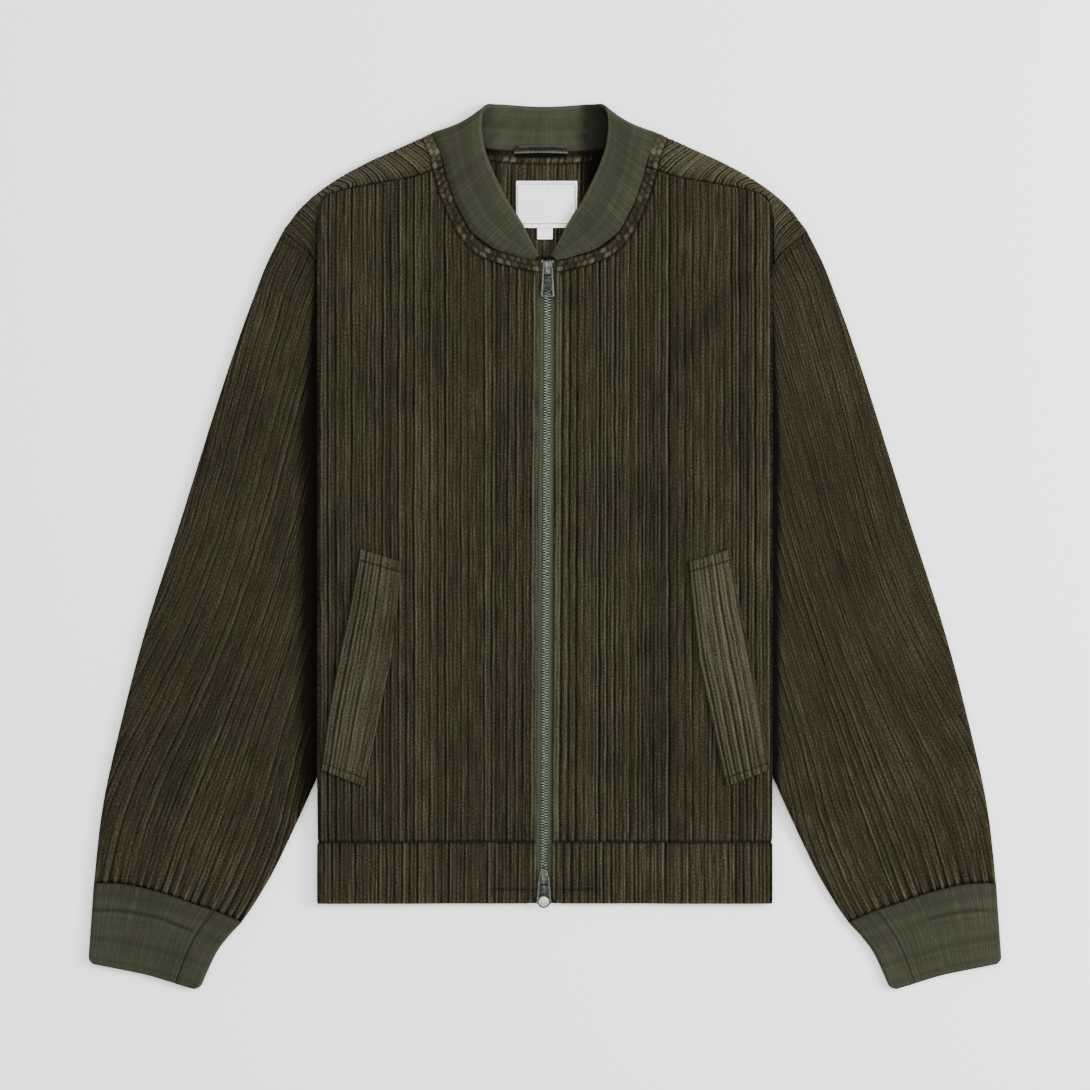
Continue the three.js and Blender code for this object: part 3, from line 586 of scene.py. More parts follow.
@dataclass(frozen=True)
class Corduroy:
    """Brown-olive pile, its grooves darker and its crests paler by the painted shade and painted highlights
    of its pile attribute, with streaks along the wales and a soft nap.
    """

    name: str = "corduroy_pile"
    groove: Color = (0.0021, 0.0017, 0.0009)
    body: Color = (0.0188, 0.0155, 0.0085)
    crest: Color = (0.075, 0.0715, 0.049)
    green: Color = (0.2, 0.27, 0.16)

    def make(self) -> Graph:
        """Build the material."""
        g = Graph(self.name)
        streaks = g.noise((1150, 42), 4)
        grain = g.noise((850, 560), 2)
        fibres = g.noise((2600, 1500), 2)
        # The pile and wear attributes bring painted shade and painted highlights into the colour, besides
        # rubbed cloth.
        value = g.total(
            (g.attribute("pile"), 0.62, 0), (streaks, 0.5, 0.5), (grain, 0.75, 0.5), (fibres, 0.4, 0.5),
            (g.mottle(9), 0.22, 0.5), (g.attribute("wear_and_painted_light"), 0.5, 0),
        )
        color = g.ramp(value, ((0.0, self.groove), (0.4, self.body), (0.95, self.crest)))
        share = g.math("MULTIPLY", g.mottle(13), 0.5)
        tinted = g.node("MixRGB", Fac=share, Color1=color, Color2=(*self.green, 1))
        tinted.blend_type = "SOFT_LIGHT"
        g.put(g.shader.inputs["Base Color"], tinted.outputs["Color"])
        g.surface(Roughness=0.95, Specular_IOR_Level=0.04, Sheen_Weight=0.06, Sheen_Roughness=0.4)
        g.raise_by(g.math("ADD", streaks, g.math("MULTIPLY", grain, 0.8)), 0.0008, 0.6)
        return g


@dataclass(frozen=True)
class RibKnit:
    """Fine grey-green rib knit, with its stitches and ribs."""

    name: str = "rib_knit_yarn"
    dark: Color = (0.005, 0.0052, 0.0027)
    body: Color = (0.0185, 0.0193, 0.0112)
    light: Color = (0.044, 0.0457, 0.029)

    def make(self) -> Graph:
        """Build the material."""
        g = Graph(self.name)
        stitches = g.noise((900, 700), 3)
        ribs = g.noise((520, 14), 2)
        # The pile attribute brings painted shade in the creases, puckers and ribs, and the wear attribute
        # painted shadows and painted highlights.
        value = g.total(
            (g.attribute("pile"), 0.45, 0), (stitches, 0.42, 0), (ribs, 0.3, 0.5),
            (g.attribute("wear_and_painted_light"), 0.42, 0), (g.mottle(14), 0.2, 0.5),
        )
        color = g.ramp(value, ((0.0, self.dark), (0.42, self.body), (0.85, self.light)))
        g.put(g.shader.inputs["Base Color"], color)
        g.surface(Roughness=0.88, Specular_IOR_Level=0.06, Sheen_Weight=0.08)
        g.raise_by(g.math("ADD", stitches, ribs), 0.0005, 0.45)
        return g


@dataclass(frozen=True)
class Woven:
    """A plain woven tape or label, with its threads."""

    name: str
    dark: Color
    light: Color
    threads: float = 2200.0
    roughness: float = 0.8

    def make(self) -> Graph:
        """Build the material."""
        g = Graph(self.name)
        warp = g.noise((self.threads, 60), 2)
        weft = g.noise((60, self.threads), 2)
        # The wear attribute brings painted highlights and painted shade into the colour of the loop and the
        # zip tapes.
        value = g.total((warp, 0.5, 0), (weft, 0.5, 0), (g.attribute("wear_and_painted_light"), 0.6, 0))
        g.put(g.shader.inputs["Base Color"], g.ramp(value, ((0.15, self.dark), (0.6, self.light))))
        g.surface(Roughness=self.roughness, Specular_IOR_Level=0.06)
        g.raise_by(g.math("ADD", warp, weft), 0.0002, 0.5)
        return g


@dataclass(frozen=True)
class Metal:
    """Zip metal, with fine scratches and rubbed places."""

    name: str
    dark: Color
    light: Color
    roughness: float = 0.35
    scale: float = 420.0

    def make(self) -> Graph:
        """Build the material."""
        g = Graph(self.name)
        rubbed = g.mottle(self.scale, 3)
        g.put(g.shader.inputs["Base Color"], g.ramp(rubbed, ((0.35, self.dark), (0.65, self.light))))
        g.surface(Metallic=1.0)
        rough = g.math("ADD", g.math("MULTIPLY", g.mottle(self.scale * 2), 0.25), self.roughness - 0.12)
        g.put(g.shader.inputs["Roughness"], rough)
        g.raise_by(rubbed, 0.0001, 0.3)
        return g


class Finishes:
    """The jacket's materials, each made once."""

    def __init__(self) -> None:
        """Make them all."""
        self.corduroy = Corduroy().make()
        self.knit = RibKnit().make()
        self.tape = Woven("zip_tape_weave", (0.0105, 0.0113, 0.0072), (0.046, 0.052, 0.036)).make()
        self.loop = Woven("loop_weave", (0.004, 0.004, 0.0028), (0.06, 0.064, 0.045)).make()
        self.label = Woven("label_satin", (0.5, 0.5, 0.5), (0.86, 0.86, 0.86), 2600, 0.65).make()
        self.thread = Woven("grey_thread", (0.05, 0.05, 0.053), (0.16, 0.16, 0.167), 4000, 0.7).make()
        self.teeth = Metal("zip_teeth_metal", (0.05, 0.06, 0.045), (0.14, 0.163, 0.127), 0.38).make()
        self.metal = Metal("gunmetal", (0.045, 0.045, 0.042), (0.09, 0.09, 0.085), 0.36).make()
        # A very dark metal for the pulls' sunk plates, painted shadow in their slots.
        self.painted_slot_shadow = Metal("painted_slot_shadow_metal", (0.012, 0.013, 0.012), (0.04, 0.042, 0.038), 0.5).make()
        self.pale = Metal("pale_metal", (0.34, 0.335, 0.32), (0.44, 0.435, 0.415), 0.5).make()


def join_pieces(name: str, pieces: Sequence[bpy.types.Object]) -> bpy.types.Object:
    """Join meshes into the first one.

    Args:
        name: the joined piece's name.
        pieces: the meshes.

    Returns:
        The joined piece.
    """
    bpy.ops.object.select_all(action="DESELECT")
    for piece in pieces:
        piece.select_set(True)
    bpy.context.view_layer.objects.active = pieces[0]
    bpy.ops.object.join()
    pieces[0].name = name
    pieces[0].data.name = name
    return pieces[0]


@dataclass(frozen=True)
class Cut:
    """The flat cut of a sheet of cloth, in metres and square metres."""

    width: float
    length: float
    area: Optional[float] = None


def seat(
    piece: bpy.types.Object, node: str, graph: Graph, slot: str, body: str = "jacket"
) -> None:
    """Dress a piece and put it on its body in place of a solid.

    Args:
        piece: the finished piece.
        node: the solid that it stands for, or nothing for one of its own.
        graph: its material.
        slot: not used.
        body: the body that it moves with.
    """
    graph.dress(piece, slot)
    if node:
        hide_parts(node)
    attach(piece, body)
    LOG.info("%s: %d faces for %s", piece.name, len(piece.data.polygons), node or "itself")


def settle(
    piece: bpy.types.Object,
    node: str,
    graph: Graph,
    slot: str,
) -> None:
    """Seat a sheet of cloth on the jacket.

    Args:
        piece: the sheet.
        node: the solid that it stands for.
        graph: its material.
        slot: not used.
    """
    seat(piece, node, graph, slot)


def near(line: Array, x: Array, h: Array) -> tuple[Array, Array]:
    """Distance from a line, and the place along it.

    Args:
        line: evenly spaced points of x and h.
        x: the places' x, in any shape.
        h: the places' h.

    Returns:
        The distance and the length along the line, both in millimetres.
    """
    step = float(np.linalg.norm(line[1] - line[0]))
    flat = np.stack([np.ravel(x), np.ravel(h)], axis=-1)
    distance = np.empty(len(flat))
    place = np.empty(len(flat))
    for start in range(0, len(flat), 4000):
        part = flat[start : start + 4000]
        gaps = np.linalg.norm(part[:, None] - line[None], axis=-1)
        distance[start : start + 4000] = gaps.min(axis=1)
        place[start : start + 4000] = gaps.argmin(axis=1) * step
    return distance.reshape(np.shape(x)), place.reshape(np.shape(x))


@dataclass(frozen=True)
class Crease:
    """A soft trough or ridge, between two places in the plan, fading at its ends."""

    start: tuple[float, float]
    end: tuple[float, float]
    height: float
    width: float

    def push(self, x: Array, h: Array) -> Array:
        """How far the crease lifts each place, in millimetres."""
        run = np.subtract(self.end, self.start)
        length = float(np.hypot(*run))
        way = run / length
        along = (x - self.start[0]) * way[0] + (h - self.start[1]) * way[1]
        across = (x - self.start[0]) * -way[1] + (h - self.start[1]) * way[0]
        share = along / length
        bend = across + 0.06 * length * np.sin(np.pi * share) * (1 if self.height > 0 else -1)
        fade = ease(share, -0.12, 0.25) * (1 - ease(share, 0.7, 1.12))
        return self.height * fade * bump(bend, 0, self.width * (0.75 + 0.5 * fade))


def creases_at(creases: Sequence[Crease], x: Array, h: Array) -> Array:
    """The lift of several creases together."""
    total = np.zeros(np.broadcast(x, h).shape)
    for crease in creases:
        total += crease.push(x, h)
    return total


@dataclass(frozen=True)
class Strip:
    """A turned edge with stitched lines, where the wales bunch into rows of short bobbles."""

    width: float = 10.2
    middle: float = 5.2
    pitch: float = 6.3
    pucker: float = 9.0

    def mark(self, distance: Array, place: Array, height: Array, shade: Array) -> tuple[Array, Array]:
        """Change the pile beside a seam.

        Args:
            distance: distance from the seam.
            place: length along the seam.
            height: the pile's height.
            shade: the pile's shade.

        Returns:
            The changed height and shade.
        """
        inside = 1 - ease(distance, self.width - 0.8, self.width + 0.6)
        row = np.where(distance < self.middle, 0, 1)
        lean = place + 0.3 * distance + 2.3 * row + 3.4 * (drift(13 + row, place, 12) - 0.5)
        cell = np.floor(lean / self.pitch + 0.5)
        offset = lean - cell * self.pitch
        size = 0.6 + 0.7 * scatter(cell + 57 * row)
        bobble = bump(offset, 0, 0.4 * self.pitch * size)
        across = np.where(row == 0, distance - 2.6, distance - 7.6)
        bobble = bobble * bump(across, 0, 2.9) * (0.45 + 0.85 * scatter(cell + 9 + 31 * row))
        split = 0.25 * bump(offset, 0.4, 0.55)
        knots = np.clip(0.16 + bobble - split, 0, 1.25)
        height = mix(height, WALE_HEIGHT * (0.1 + 1.05 * knots), inside)
        # The colour follows the bobbles, darker in the gaps between them as painted shade.
        shade = mix(shade, 0.06 + 1.02 * knots, inside)
        line = bump(distance, self.width + 0.3, 0.7)
        stitch = 0.8 + 0.2 * np.sin(place * CIRCLE / STITCH_PITCH)
        ripple = np.sin(place * CIRCLE / 6.9 + 3 * drift(9, place, 20))
        beyond = distance - self.width
        fade = np.exp(-np.clip(beyond, 0, None) / self.pucker * 2.2) * (distance > self.width)
        height = height - 0.8 * line * stitch + 0.3 * ripple * fade
        # Beyond the stitches the colour follows the puckers, lighter on their crests as painted shade; the
        # stitched line is darker.
        shade = np.clip(shade - 0.7 * line * stitch + 0.16 * ripple * fade, 0, 1.3)
        return height, shade


NECK_STRIP = Strip()


def seam_dip(distance: Array, depth: float = 0.7, width: float = 1.4) -> Array:
    """How far cloth drops into a seam at its edge."""
    return -depth * np.exp(-((np.asarray(distance, float) / width) ** 2))


def columns_to(start: float, stop: float, step: float = 0.85) -> Array:
    """Even places from start to stop, about one step apart."""
    return np.linspace(start, stop, max(2, int(round(abs(stop - start) / step)) + 1))


def row_shares(length: float, step: float = 2.6, fine: float = 16.0, fine_step: float = 1.1) -> Array:
    """Shares along a panel, closer together near its end."""
    coarse = columns_to(0, length - fine, step)[:-1]
    return np.concatenate([coarse, columns_to(length - fine, length, fine_step)]) / length


@dataclass
class Folded:
    """A flat run of columns, then the fold at the side and the cloth folded in behind it."""

    start: float
    fold_x: float
    down: float = 1.0

    def columns(self) -> tuple[Array, Array, Array]:
        """Every column's x, its turn round the fold and its depth behind it."""
        flat = columns_to(self.start, self.fold_x)
        turn = np.linspace(0, 1, 9)[1:]
        depth = np.array([0.04, 0.12, 0.3, 0.65, 1])
        x = np.concatenate([flat, np.full(len(turn) + len(depth), self.fold_x)])
        turns = np.concatenate([np.zeros(len(flat)), turn, np.ones(len(depth))])
        depths = np.concatenate([np.zeros(len(flat) + len(turn)), depth])
        return x[:, None], turns[:, None], depths[:, None]

    def folds(self) -> range:
        """The columns at the fold, which the cloth's inner side also keeps."""
        turn = self.columns()[1]
        return range(int(np.count_nonzero(turn == 0)) - 1, len(turn))

    def tucked(self) -> Array:
        """How far each column lies beyond the fold, across the weave."""
        _, turn, depth = self.columns()
        return turn + depth * 60

    def place(self, x: Array, h: Array, z: Array | float, side: Side) -> Array:
        """The points of the folded panel, and nothing changed where it runs flat.

        Args:
            x: the columns' x.
            h: the points' h.
            z: the flat run's middle height.
            side: the half of the jacket.

        Returns:
            The points.
        """
        _, turn, depth = self.columns()
        angle = turn * math.pi
        back = depth * np.maximum(gusset(h), 1)
        px = x + FOLD_RADIUS * np.sin(angle) - back
        pz = z - self.down * FOLD_RADIUS * (1 - np.cos(angle))
        return points_at(side.value * px, h, pz)


FRONT_CREASES = {
    Side.LEFT: (
        Crease((60, 470), (110, 380), 0.9, 14),
        Crease((96, 540), (176, 470), -0.8, 12),
        Crease((30, 330), (52, 190), 0.7, 13),
        Crease((108, 250), (70, 120), -0.6, 14),
        Crease((150, 590), (188, 520), 0.6, 9),
    ),
    Side.RIGHT: (
        Crease((52, 520), (120, 430), 0.9, 14),
        Crease((110, 420), (182, 330), -0.8, 13),
        Crease((34, 300), (60, 140), 0.7, 14),
        Crease((90, 210), (128, 90), -0.6, 12),
        Crease((140, 560), (186, 500), 0.6, 10),
    ),
}


def front_creases(side: Side, x: Array, h: Array) -> Array:
    """The lift of a front's creases, which fade towards its side fold."""
    return creases_at(FRONT_CREASES[side], x, h) * (1 - ease(x, 170, 195))


def beside_zip(side: Side, x: Array, h: Array) -> Array:
    """A front's x, moved along with the leaning zip near its edge."""
    return x + side.value * zip_x(h) * (1 - ease(x, 8, 60))


@dataclass
class FrontPanel:
    """One front, from the zip to the fold at its side."""

    side: Side
    placket: float = 7.6

    def build(self) -> bpy.types.Object:
        """Make the front."""
        panel = Folded(ZIP_HALF_OPENING, FRONT_FOLD_X)
        x, turn, _ = panel.columns()
        bottom = HEM_BAND + SEAM_GAP
        h = mix(bottom, front_top(x), row_shares(560)[None])
        height, shade = WALES.relief(x + 300 * (self.side is Side.LEFT), h)
        flat_x = np.broadcast_to(x, h.shape)
        neck_gap, neck_place = near(FRONT_NECK.samples(), flat_x, h)
        shoulder_gap, _ = near(SHOULDER_SEAM.samples(), flat_x, h)
        height, shade = NECK_STRIP.mark(neck_gap, neck_place, height, shade)
        hem_gap = h - bottom
        ripple = np.sin(x * CIRCLE / 8.3 + 4 * drift(7, x, 30)) * np.exp(-hem_gap / 9)
        height = height + seam_dip(shoulder_gap - SEAM_GAP, 0.5) + seam_dip(hem_gap, 0.6) + 0.25 * ripple
        edge = x - ZIP_HALF_OPENING
        line = bump(edge, self.placket, 0.6) * (0.7 + 0.3 * np.sin(h * CIRCLE / STITCH_PITCH))
        height = height - 0.6 * line + seam_dip(edge, 0.5, 1.2)
        shade = np.clip(shade - 0.5 * line - 0.3 * bump(hem_gap, 0, 1.3), 0, 1.2)
        height = height * (1 - ease(turn, 0.45, 0.8))
        z = front_z(x, h) + front_creases(self.side, x, h)
        points = panel.place(beside_zip(self.side, x, h), h, z, self.side)
        # Paler near the zip's edge where the cloth is rubbed, and a painted highlight along the side fold.
        wear_and_painted_light = 0.22 * (1 - ease(edge, 6, 12)) + 0.1 * bump(x, FRONT_FOLD_X, 5)
        sheet = Sheet(points, height, shade, x + panel.tucked(), h, wear_and_painted_light,
                      folds=panel.folds(), turn=self.side.value)
        return sheet.build(f"front_panel_{self.side.label}")

    def dress(self, piece: bpy.types.Object, finishes: Finishes) -> None:
        """Dress the front, whose cloth is folded in at its side."""
        node = f"front_{self.side.label}"
        settle(piece, node, finishes.corduroy, "corduroy")


def arm_edge(b: Array) -> Array:
    """The armhole seam at the shoulder's end, from the side fold to the shoulder's edge."""
    h = mix(561.6, ARMHOLE_TOP, b)
    return np.stack([ARMHOLE.read("h", h, "x") - 0.1, h], axis=-1)


def cap_edge(v: Array) -> tuple[Array, Array]:
    """The shoulder cap's outer edge: up the armhole seam, then up the shoulder's edge."""
    h = mix(560.5, 622, v)
    lower = ARMHOLE.read("h", np.minimum(h, ARMHOLE_TOP), "x") - 0.8
    upper = SHOULDER_EDGE.reversed().read("h", np.maximum(h, ARMHOLE_TOP), "x") - 0.4
    return np.where(h < ARMHOLE_TOP, lower, upper), h


@dataclass
class FrontHemBand:
    """One half of the band at the front's lower edge, rounded at its corner beside the zip."""

    side: Side
    stitch: float = 7.6

    def build(self) -> bpy.types.Object:
        """Make the band."""
        panel = Folded(ZIP_HALF_OPENING, FRONT_FOLD_X)
        x, turn, _ = panel.columns()
        inside = np.clip((ZIP_HALF_OPENING + HEM_CORNER - x) / HEM_CORNER, 0, 1)
        low = HEM_CORNER * (1 - np.sqrt(1 - inside * inside))
        h = mix(low, HEM_BAND, np.concatenate([[0, 0.012, 0.03], columns_to(0.06, 1, 0.042)])[None])
        height, shade = WALES.relief(x + 300 * (self.side is Side.LEFT) + 3.1, h)
        edge = x - ZIP_HALF_OPENING
        ripple = np.sin(x * CIRCLE / 9.1 + 3 * drift(5, x, 40)) * np.exp(-(HEM_BAND - h) / 8)
        line = bump(edge, self.stitch, 0.6) + 0.9 * bump(h, 12, 0.6) * (1 - ease(x, 44, 52))
        height = height + HEM_EXTRA + seam_dip(HEM_BAND - h, 0.9) + seam_dip(h - low, 0.5) + 0.2 * ripple
        height = height - 0.6 * line
        shade = np.clip(shade - 0.5 * line - 0.4 * bump(HEM_BAND - h, 0, 1.4), 0, 1.2)
        height = height * (1 - ease(turn, 0.45, 0.8))
        wave = 0.3 * np.sin(x / 31 + self.side.value) * ease(x, 20, 50) * (1 - ease(x, 150, 190))
        z = front_z(x, h) + wave
        points = panel.place(beside_zip(self.side, x, h), h, z, self.side)
        wear_and_painted_light = 0.18 * (1 - ease(edge, 6, 12)) + 0.2 * bump(h - low, 0, 2.5) + 0.03
        sheet = Sheet(points, height, shade, x + panel.tucked(), h, wear_and_painted_light,
                      folds=panel.folds(), turn=self.side.value)
        return sheet.build(f"hem_band_{self.side.label}_cloth")

    def dress(self, piece: bpy.types.Object, finishes: Finishes) -> None:
        """Dress the band."""
        node = f"hem_band_{self.side.label}"
        settle(piece, node, finishes.corduroy, "corduroy")


@dataclass
class BackCloth:
    """The back, flat on the ground, folded in at its sides and over the shoulders."""

    def half(self, side: Side, bottom: float, top: Callable[[Array], Array], step: float) -> Sheet:
        """One half of a back sheet, from the centre line to the cloth folded in at its side."""
        panel = Folded(-0.5, BACK_FOLD_X, -1)
        x = panel.columns()[0]
        h = mix(bottom, top(np.abs(x)), columns_to(0, 1, step / 500)[None])
        across = x * side.value + 600 + side.value * panel.tucked()
        _, shade = WALES.relief(across, h)
        points = panel.place(x, h, BACK_Z, side)
        return Sheet(points, 0.0, 0.25 + 0.6 * shade, across, h, folds=panel.folds(), turn=-side.value)

    def cap(self, side: Side) -> Sheet:
        """The back's cloth beyond its side fold, up to the armhole and the shoulder."""
        u = np.linspace(0, 1, 9)[:, None]
        v = np.linspace(0, 1, 24)[None]
        edge_x, edge_h = cap_edge(v)
        edge_x = edge_x + 4.5 * (1 - ease(edge_h, 566, 590))
        inner_x = BACK_FOLD_X - 6
        reach = np.maximum(edge_x, inner_x + 3) - 2 * ease(edge_h, 588, 600)
        x = mix(inner_x, reach, u)
        h = mix(mix(548, 619, v), edge_h - 3 * v, u)
        points = points_at(side.value * x, h, BACK_Z)
        return Sheet(points, 0.0, 0.7, x, h, every=4, turn=-side.value)

    def wrap(self, side: Side) -> Sheet:
        """The back's cloth that comes over the shoulder as far as the armhole, its wales aslant."""
        u = columns_to(0, 1, 0.85 / WRAP_LENGTH)[:, None]
        edge = SHOULDER_EDGE.samples()
        edge = edge[edge[:, 0] >= WRAP_START_X]
        steps = np.linspace(0, 1, len(edge))
        top = np.stack([np.interp(u, steps, edge[:, k]) for k in (0, 1)], axis=-1)
        run = unit(np.gradient(top[:, 0], axis=0))
        out = np.stack([-run[:, 1], run[:, 0]], axis=-1)[:, None]
        high = np.interp(u, (0, 0.55, 0.72, 1), (NECK_Z - 0.4, 5.6, 5.0, 3.5))
        radius = (high - BACK_Z) / 2
        inset = top - out * radius[..., None]
        b = np.linspace(0, 1, 24)[None, :, None]
        seam = WRAP_SEAM.at(u)
        neck, arm = WRAP_NECK.at(b[..., 0]), arm_edge(b[..., 0])
        neck = neck + b * (inset[:1] - neck[:, -1:])
        arm = arm + b * (inset[-1:] - arm[:, -1:]) + (1 - b) * (seam[-1:] - arm[:, :1])
        us = u[..., None]
        corners = mix(mix(seam[:1], inset[:1], b), mix(seam[-1:], inset[-1:], b), us)
        plan = mix(seam, inset, b) + mix(neck, arm, us) - corners
        low = np.interp(u, (0, 0.55, 0.72, 1), (NECK_Z - 0.4, 5.6, 5.3, 5.6))
        bs = b[..., 0]
        z = mix(low, high, bs) + 0.45 * np.sin(bs * 3) * (1 - ease(u, 0.5, 0.7))
        front = np.concatenate([plan, z[..., None]], axis=-1)
        angle = (np.linspace(0, 1, 11)[1:] * math.pi)[None, :, None]
        over_plan = inset + out * radius[..., None] * np.sin(angle)
        over_z = high - radius * (1 - np.cos(angle[..., 0]))
        over = np.concatenate([over_plan, over_z[..., None]], axis=-1)
        back = np.concatenate([inset - out * 9, np.full(u.shape + (1,), BACK_Z)], axis=-1)
        points = np.concatenate([front, over, back], axis=1) * [side.value, 1, 1]
        gap = np.linalg.norm(inset - seam, axis=-1)
        tail = np.concatenate([angle.ravel() * 1.6, [14]])[None]
        rise = np.concatenate([bs * gap, gap + tail * radius / 1.6], axis=1)
        shear = np.interp(u, (0, 0.5, 0.62, 0.78, 1), (0.62, 0.75, 1.3, 0.1, -0.25))
        across = u * WRAP_LENGTH - shear * rise
        height, shade = WALES.relief(across + 2000 + 90 * side.value, rise)
        neck_gap, neck_place = near(WRAP_NECK.samples(), np.abs(points[..., 0]), points[..., 1])
        height, shade = NECK_STRIP.mark(neck_gap, neck_place + 30, height, shade)
        height = height + seam_dip(rise, 0.5) + seam_dip((1 - u) * WRAP_LENGTH, 0.5)
        shade = np.clip(shade - 0.35 * bump(rise, 0, 1.2), 0, 1.2)
        turned = np.concatenate([np.zeros(24), angle.ravel() / math.pi, [1]])[None]
        height = height * (1 - ease(turned, 0.5, 0.8))
        # The wrap's colour is a little paler, and paler again away from its seam, except towards the
        # armhole.
        wear_and_painted_light = 0.1 + 0.25 * ease(rise, 0, 12) * (1 - ease(u, 0.7, 0.95))
        return Sheet(points, height, shade, across, rise, wear_and_painted_light, turn=side.value)

    def panel(self) -> bpy.types.Object:
        """Make the back panel with its caps and shoulder wraps."""

        def top(x: Array) -> Array:
            """The back's upper edge: the neck seam, then the shoulder's edge."""
            neck = BACK_NECK.read("x", np.clip(x, 0, 94), "h") + 0.2
            edge = SHOULDER_EDGE.read("x", np.clip(x, 94, 229), "h") - 4
            return np.where(x < 94, neck, edge)

        parts = []
        for side in Side:
            parts.append(self.half(side, HEM_BAND + SEAM_GAP, top, 7).build("back_half"))
            parts.append(self.cap(side).build("back_cap"))
            parts.append(self.wrap(side).build("back_wrap"))
        return join_pieces("back_panel_cloth", parts)

    def band(self) -> bpy.types.Object:
        """Make the back of the hem band."""
        def top(x: Array) -> Array:
            """The band's upper edge, which is straight."""
            return np.full(x.shape, HEM_BAND)

        parts = [self.half(side, 0, top, 45).build("band") for side in Side]
        return join_pieces("hem_band_back_cloth", parts)

    def dress(self, panel: bpy.types.Object, band: bpy.types.Object, finishes: Finishes) -> None:
        """Dress both pieces."""
        settle(panel, "back_panel", finishes.corduroy, "corduroy")
        settle(band, "hem_band_back", finishes.corduroy, "corduroy")


def grid_patch(
    outer: Outline, inner: Outline, start: Outline, end: Outline, a: Array, v: Array
) -> tuple[Array, Array]:
    """Points between four edge curves.

    Args:
        outer: the edge at a 0, from v 0 to 1.
        inner: the edge at a 1.
        start: the edge at v 0, from a 0 to 1.
        end: the edge at v 1.
        a: shares from the outer edge to the inner one, as a column.
        v: shares along, as a row.

    Returns:
        The points' x and h.
    """
    o, i = outer.at(v), inner.at(v)
    s, e = start.at(a), end.at(a)
    av, vv = a[..., None], v[..., None]
    corners = mix(mix(outer.at(0), inner.at(0), av), mix(outer.at(1), inner.at(1), av), vv)
    points = mix(o, i, av) + mix(s, e, vv) - corners
    return points[..., 0], points[..., 1]


@dataclass(frozen=True)
class Tube:
    """Columns round a flattened tube: over its top from the outer edge, and back beneath."""

    over: int
    under: int
    edge: float

    def columns(self) -> tuple[Array, Array, Array]:
        """Every column's share from the outer edge, its level from -1 to 1, and 1 on the top run."""
        corner = np.linspace(0, math.pi / 2, 6)
        rise = [(self.edge * (1 - math.cos(t)), math.sin(t), 0.0) for t in corner[:-1]]
        top = [(a, 1.0, 1.0) for a in np.linspace(self.edge, 1 - self.edge, self.over)]
        fall = [(1 - a, level, 0.0) for a, level, _ in rise[::-1]]
        low = [(1 - a, -level, 0.0) for a, level, _ in rise[1:]]
        under = [(a, -1.0, 0.0) for a in np.linspace(1 - self.edge, self.edge, self.under)]
        back = [(a, -level, 0.0) for a, level, _ in rise[:0:-1]]
        table = np.array(rise + top + fall + low + under + back)
        return table[:, 0], table[:, 1], table[:, 2]


SLEEVE_CREASES = {
    Side.LEFT: (
        Crease((268, 452), (196, 420), 1.1, 11),
        Crease((300, 372), (226, 322), -0.9, 11),
        Crease((322, 262), (238, 232), 1.0, 12),
        Crease((352, 172), (258, 120), -0.8, 11),
        Crease((372, 120), (290, 72), 0.9, 10),
    ),
    Side.RIGHT: (
        Crease((262, 468), (186, 418), 1.0, 11),
        Crease((296, 352), (214, 340), -0.8, 12),
        Crease((330, 236), (246, 190), 1.0, 12),
        Crease((356, 150), (268, 96), -0.8, 10),
        Crease((376, 100), (300, 60), 0.8, 9),
    ),
}


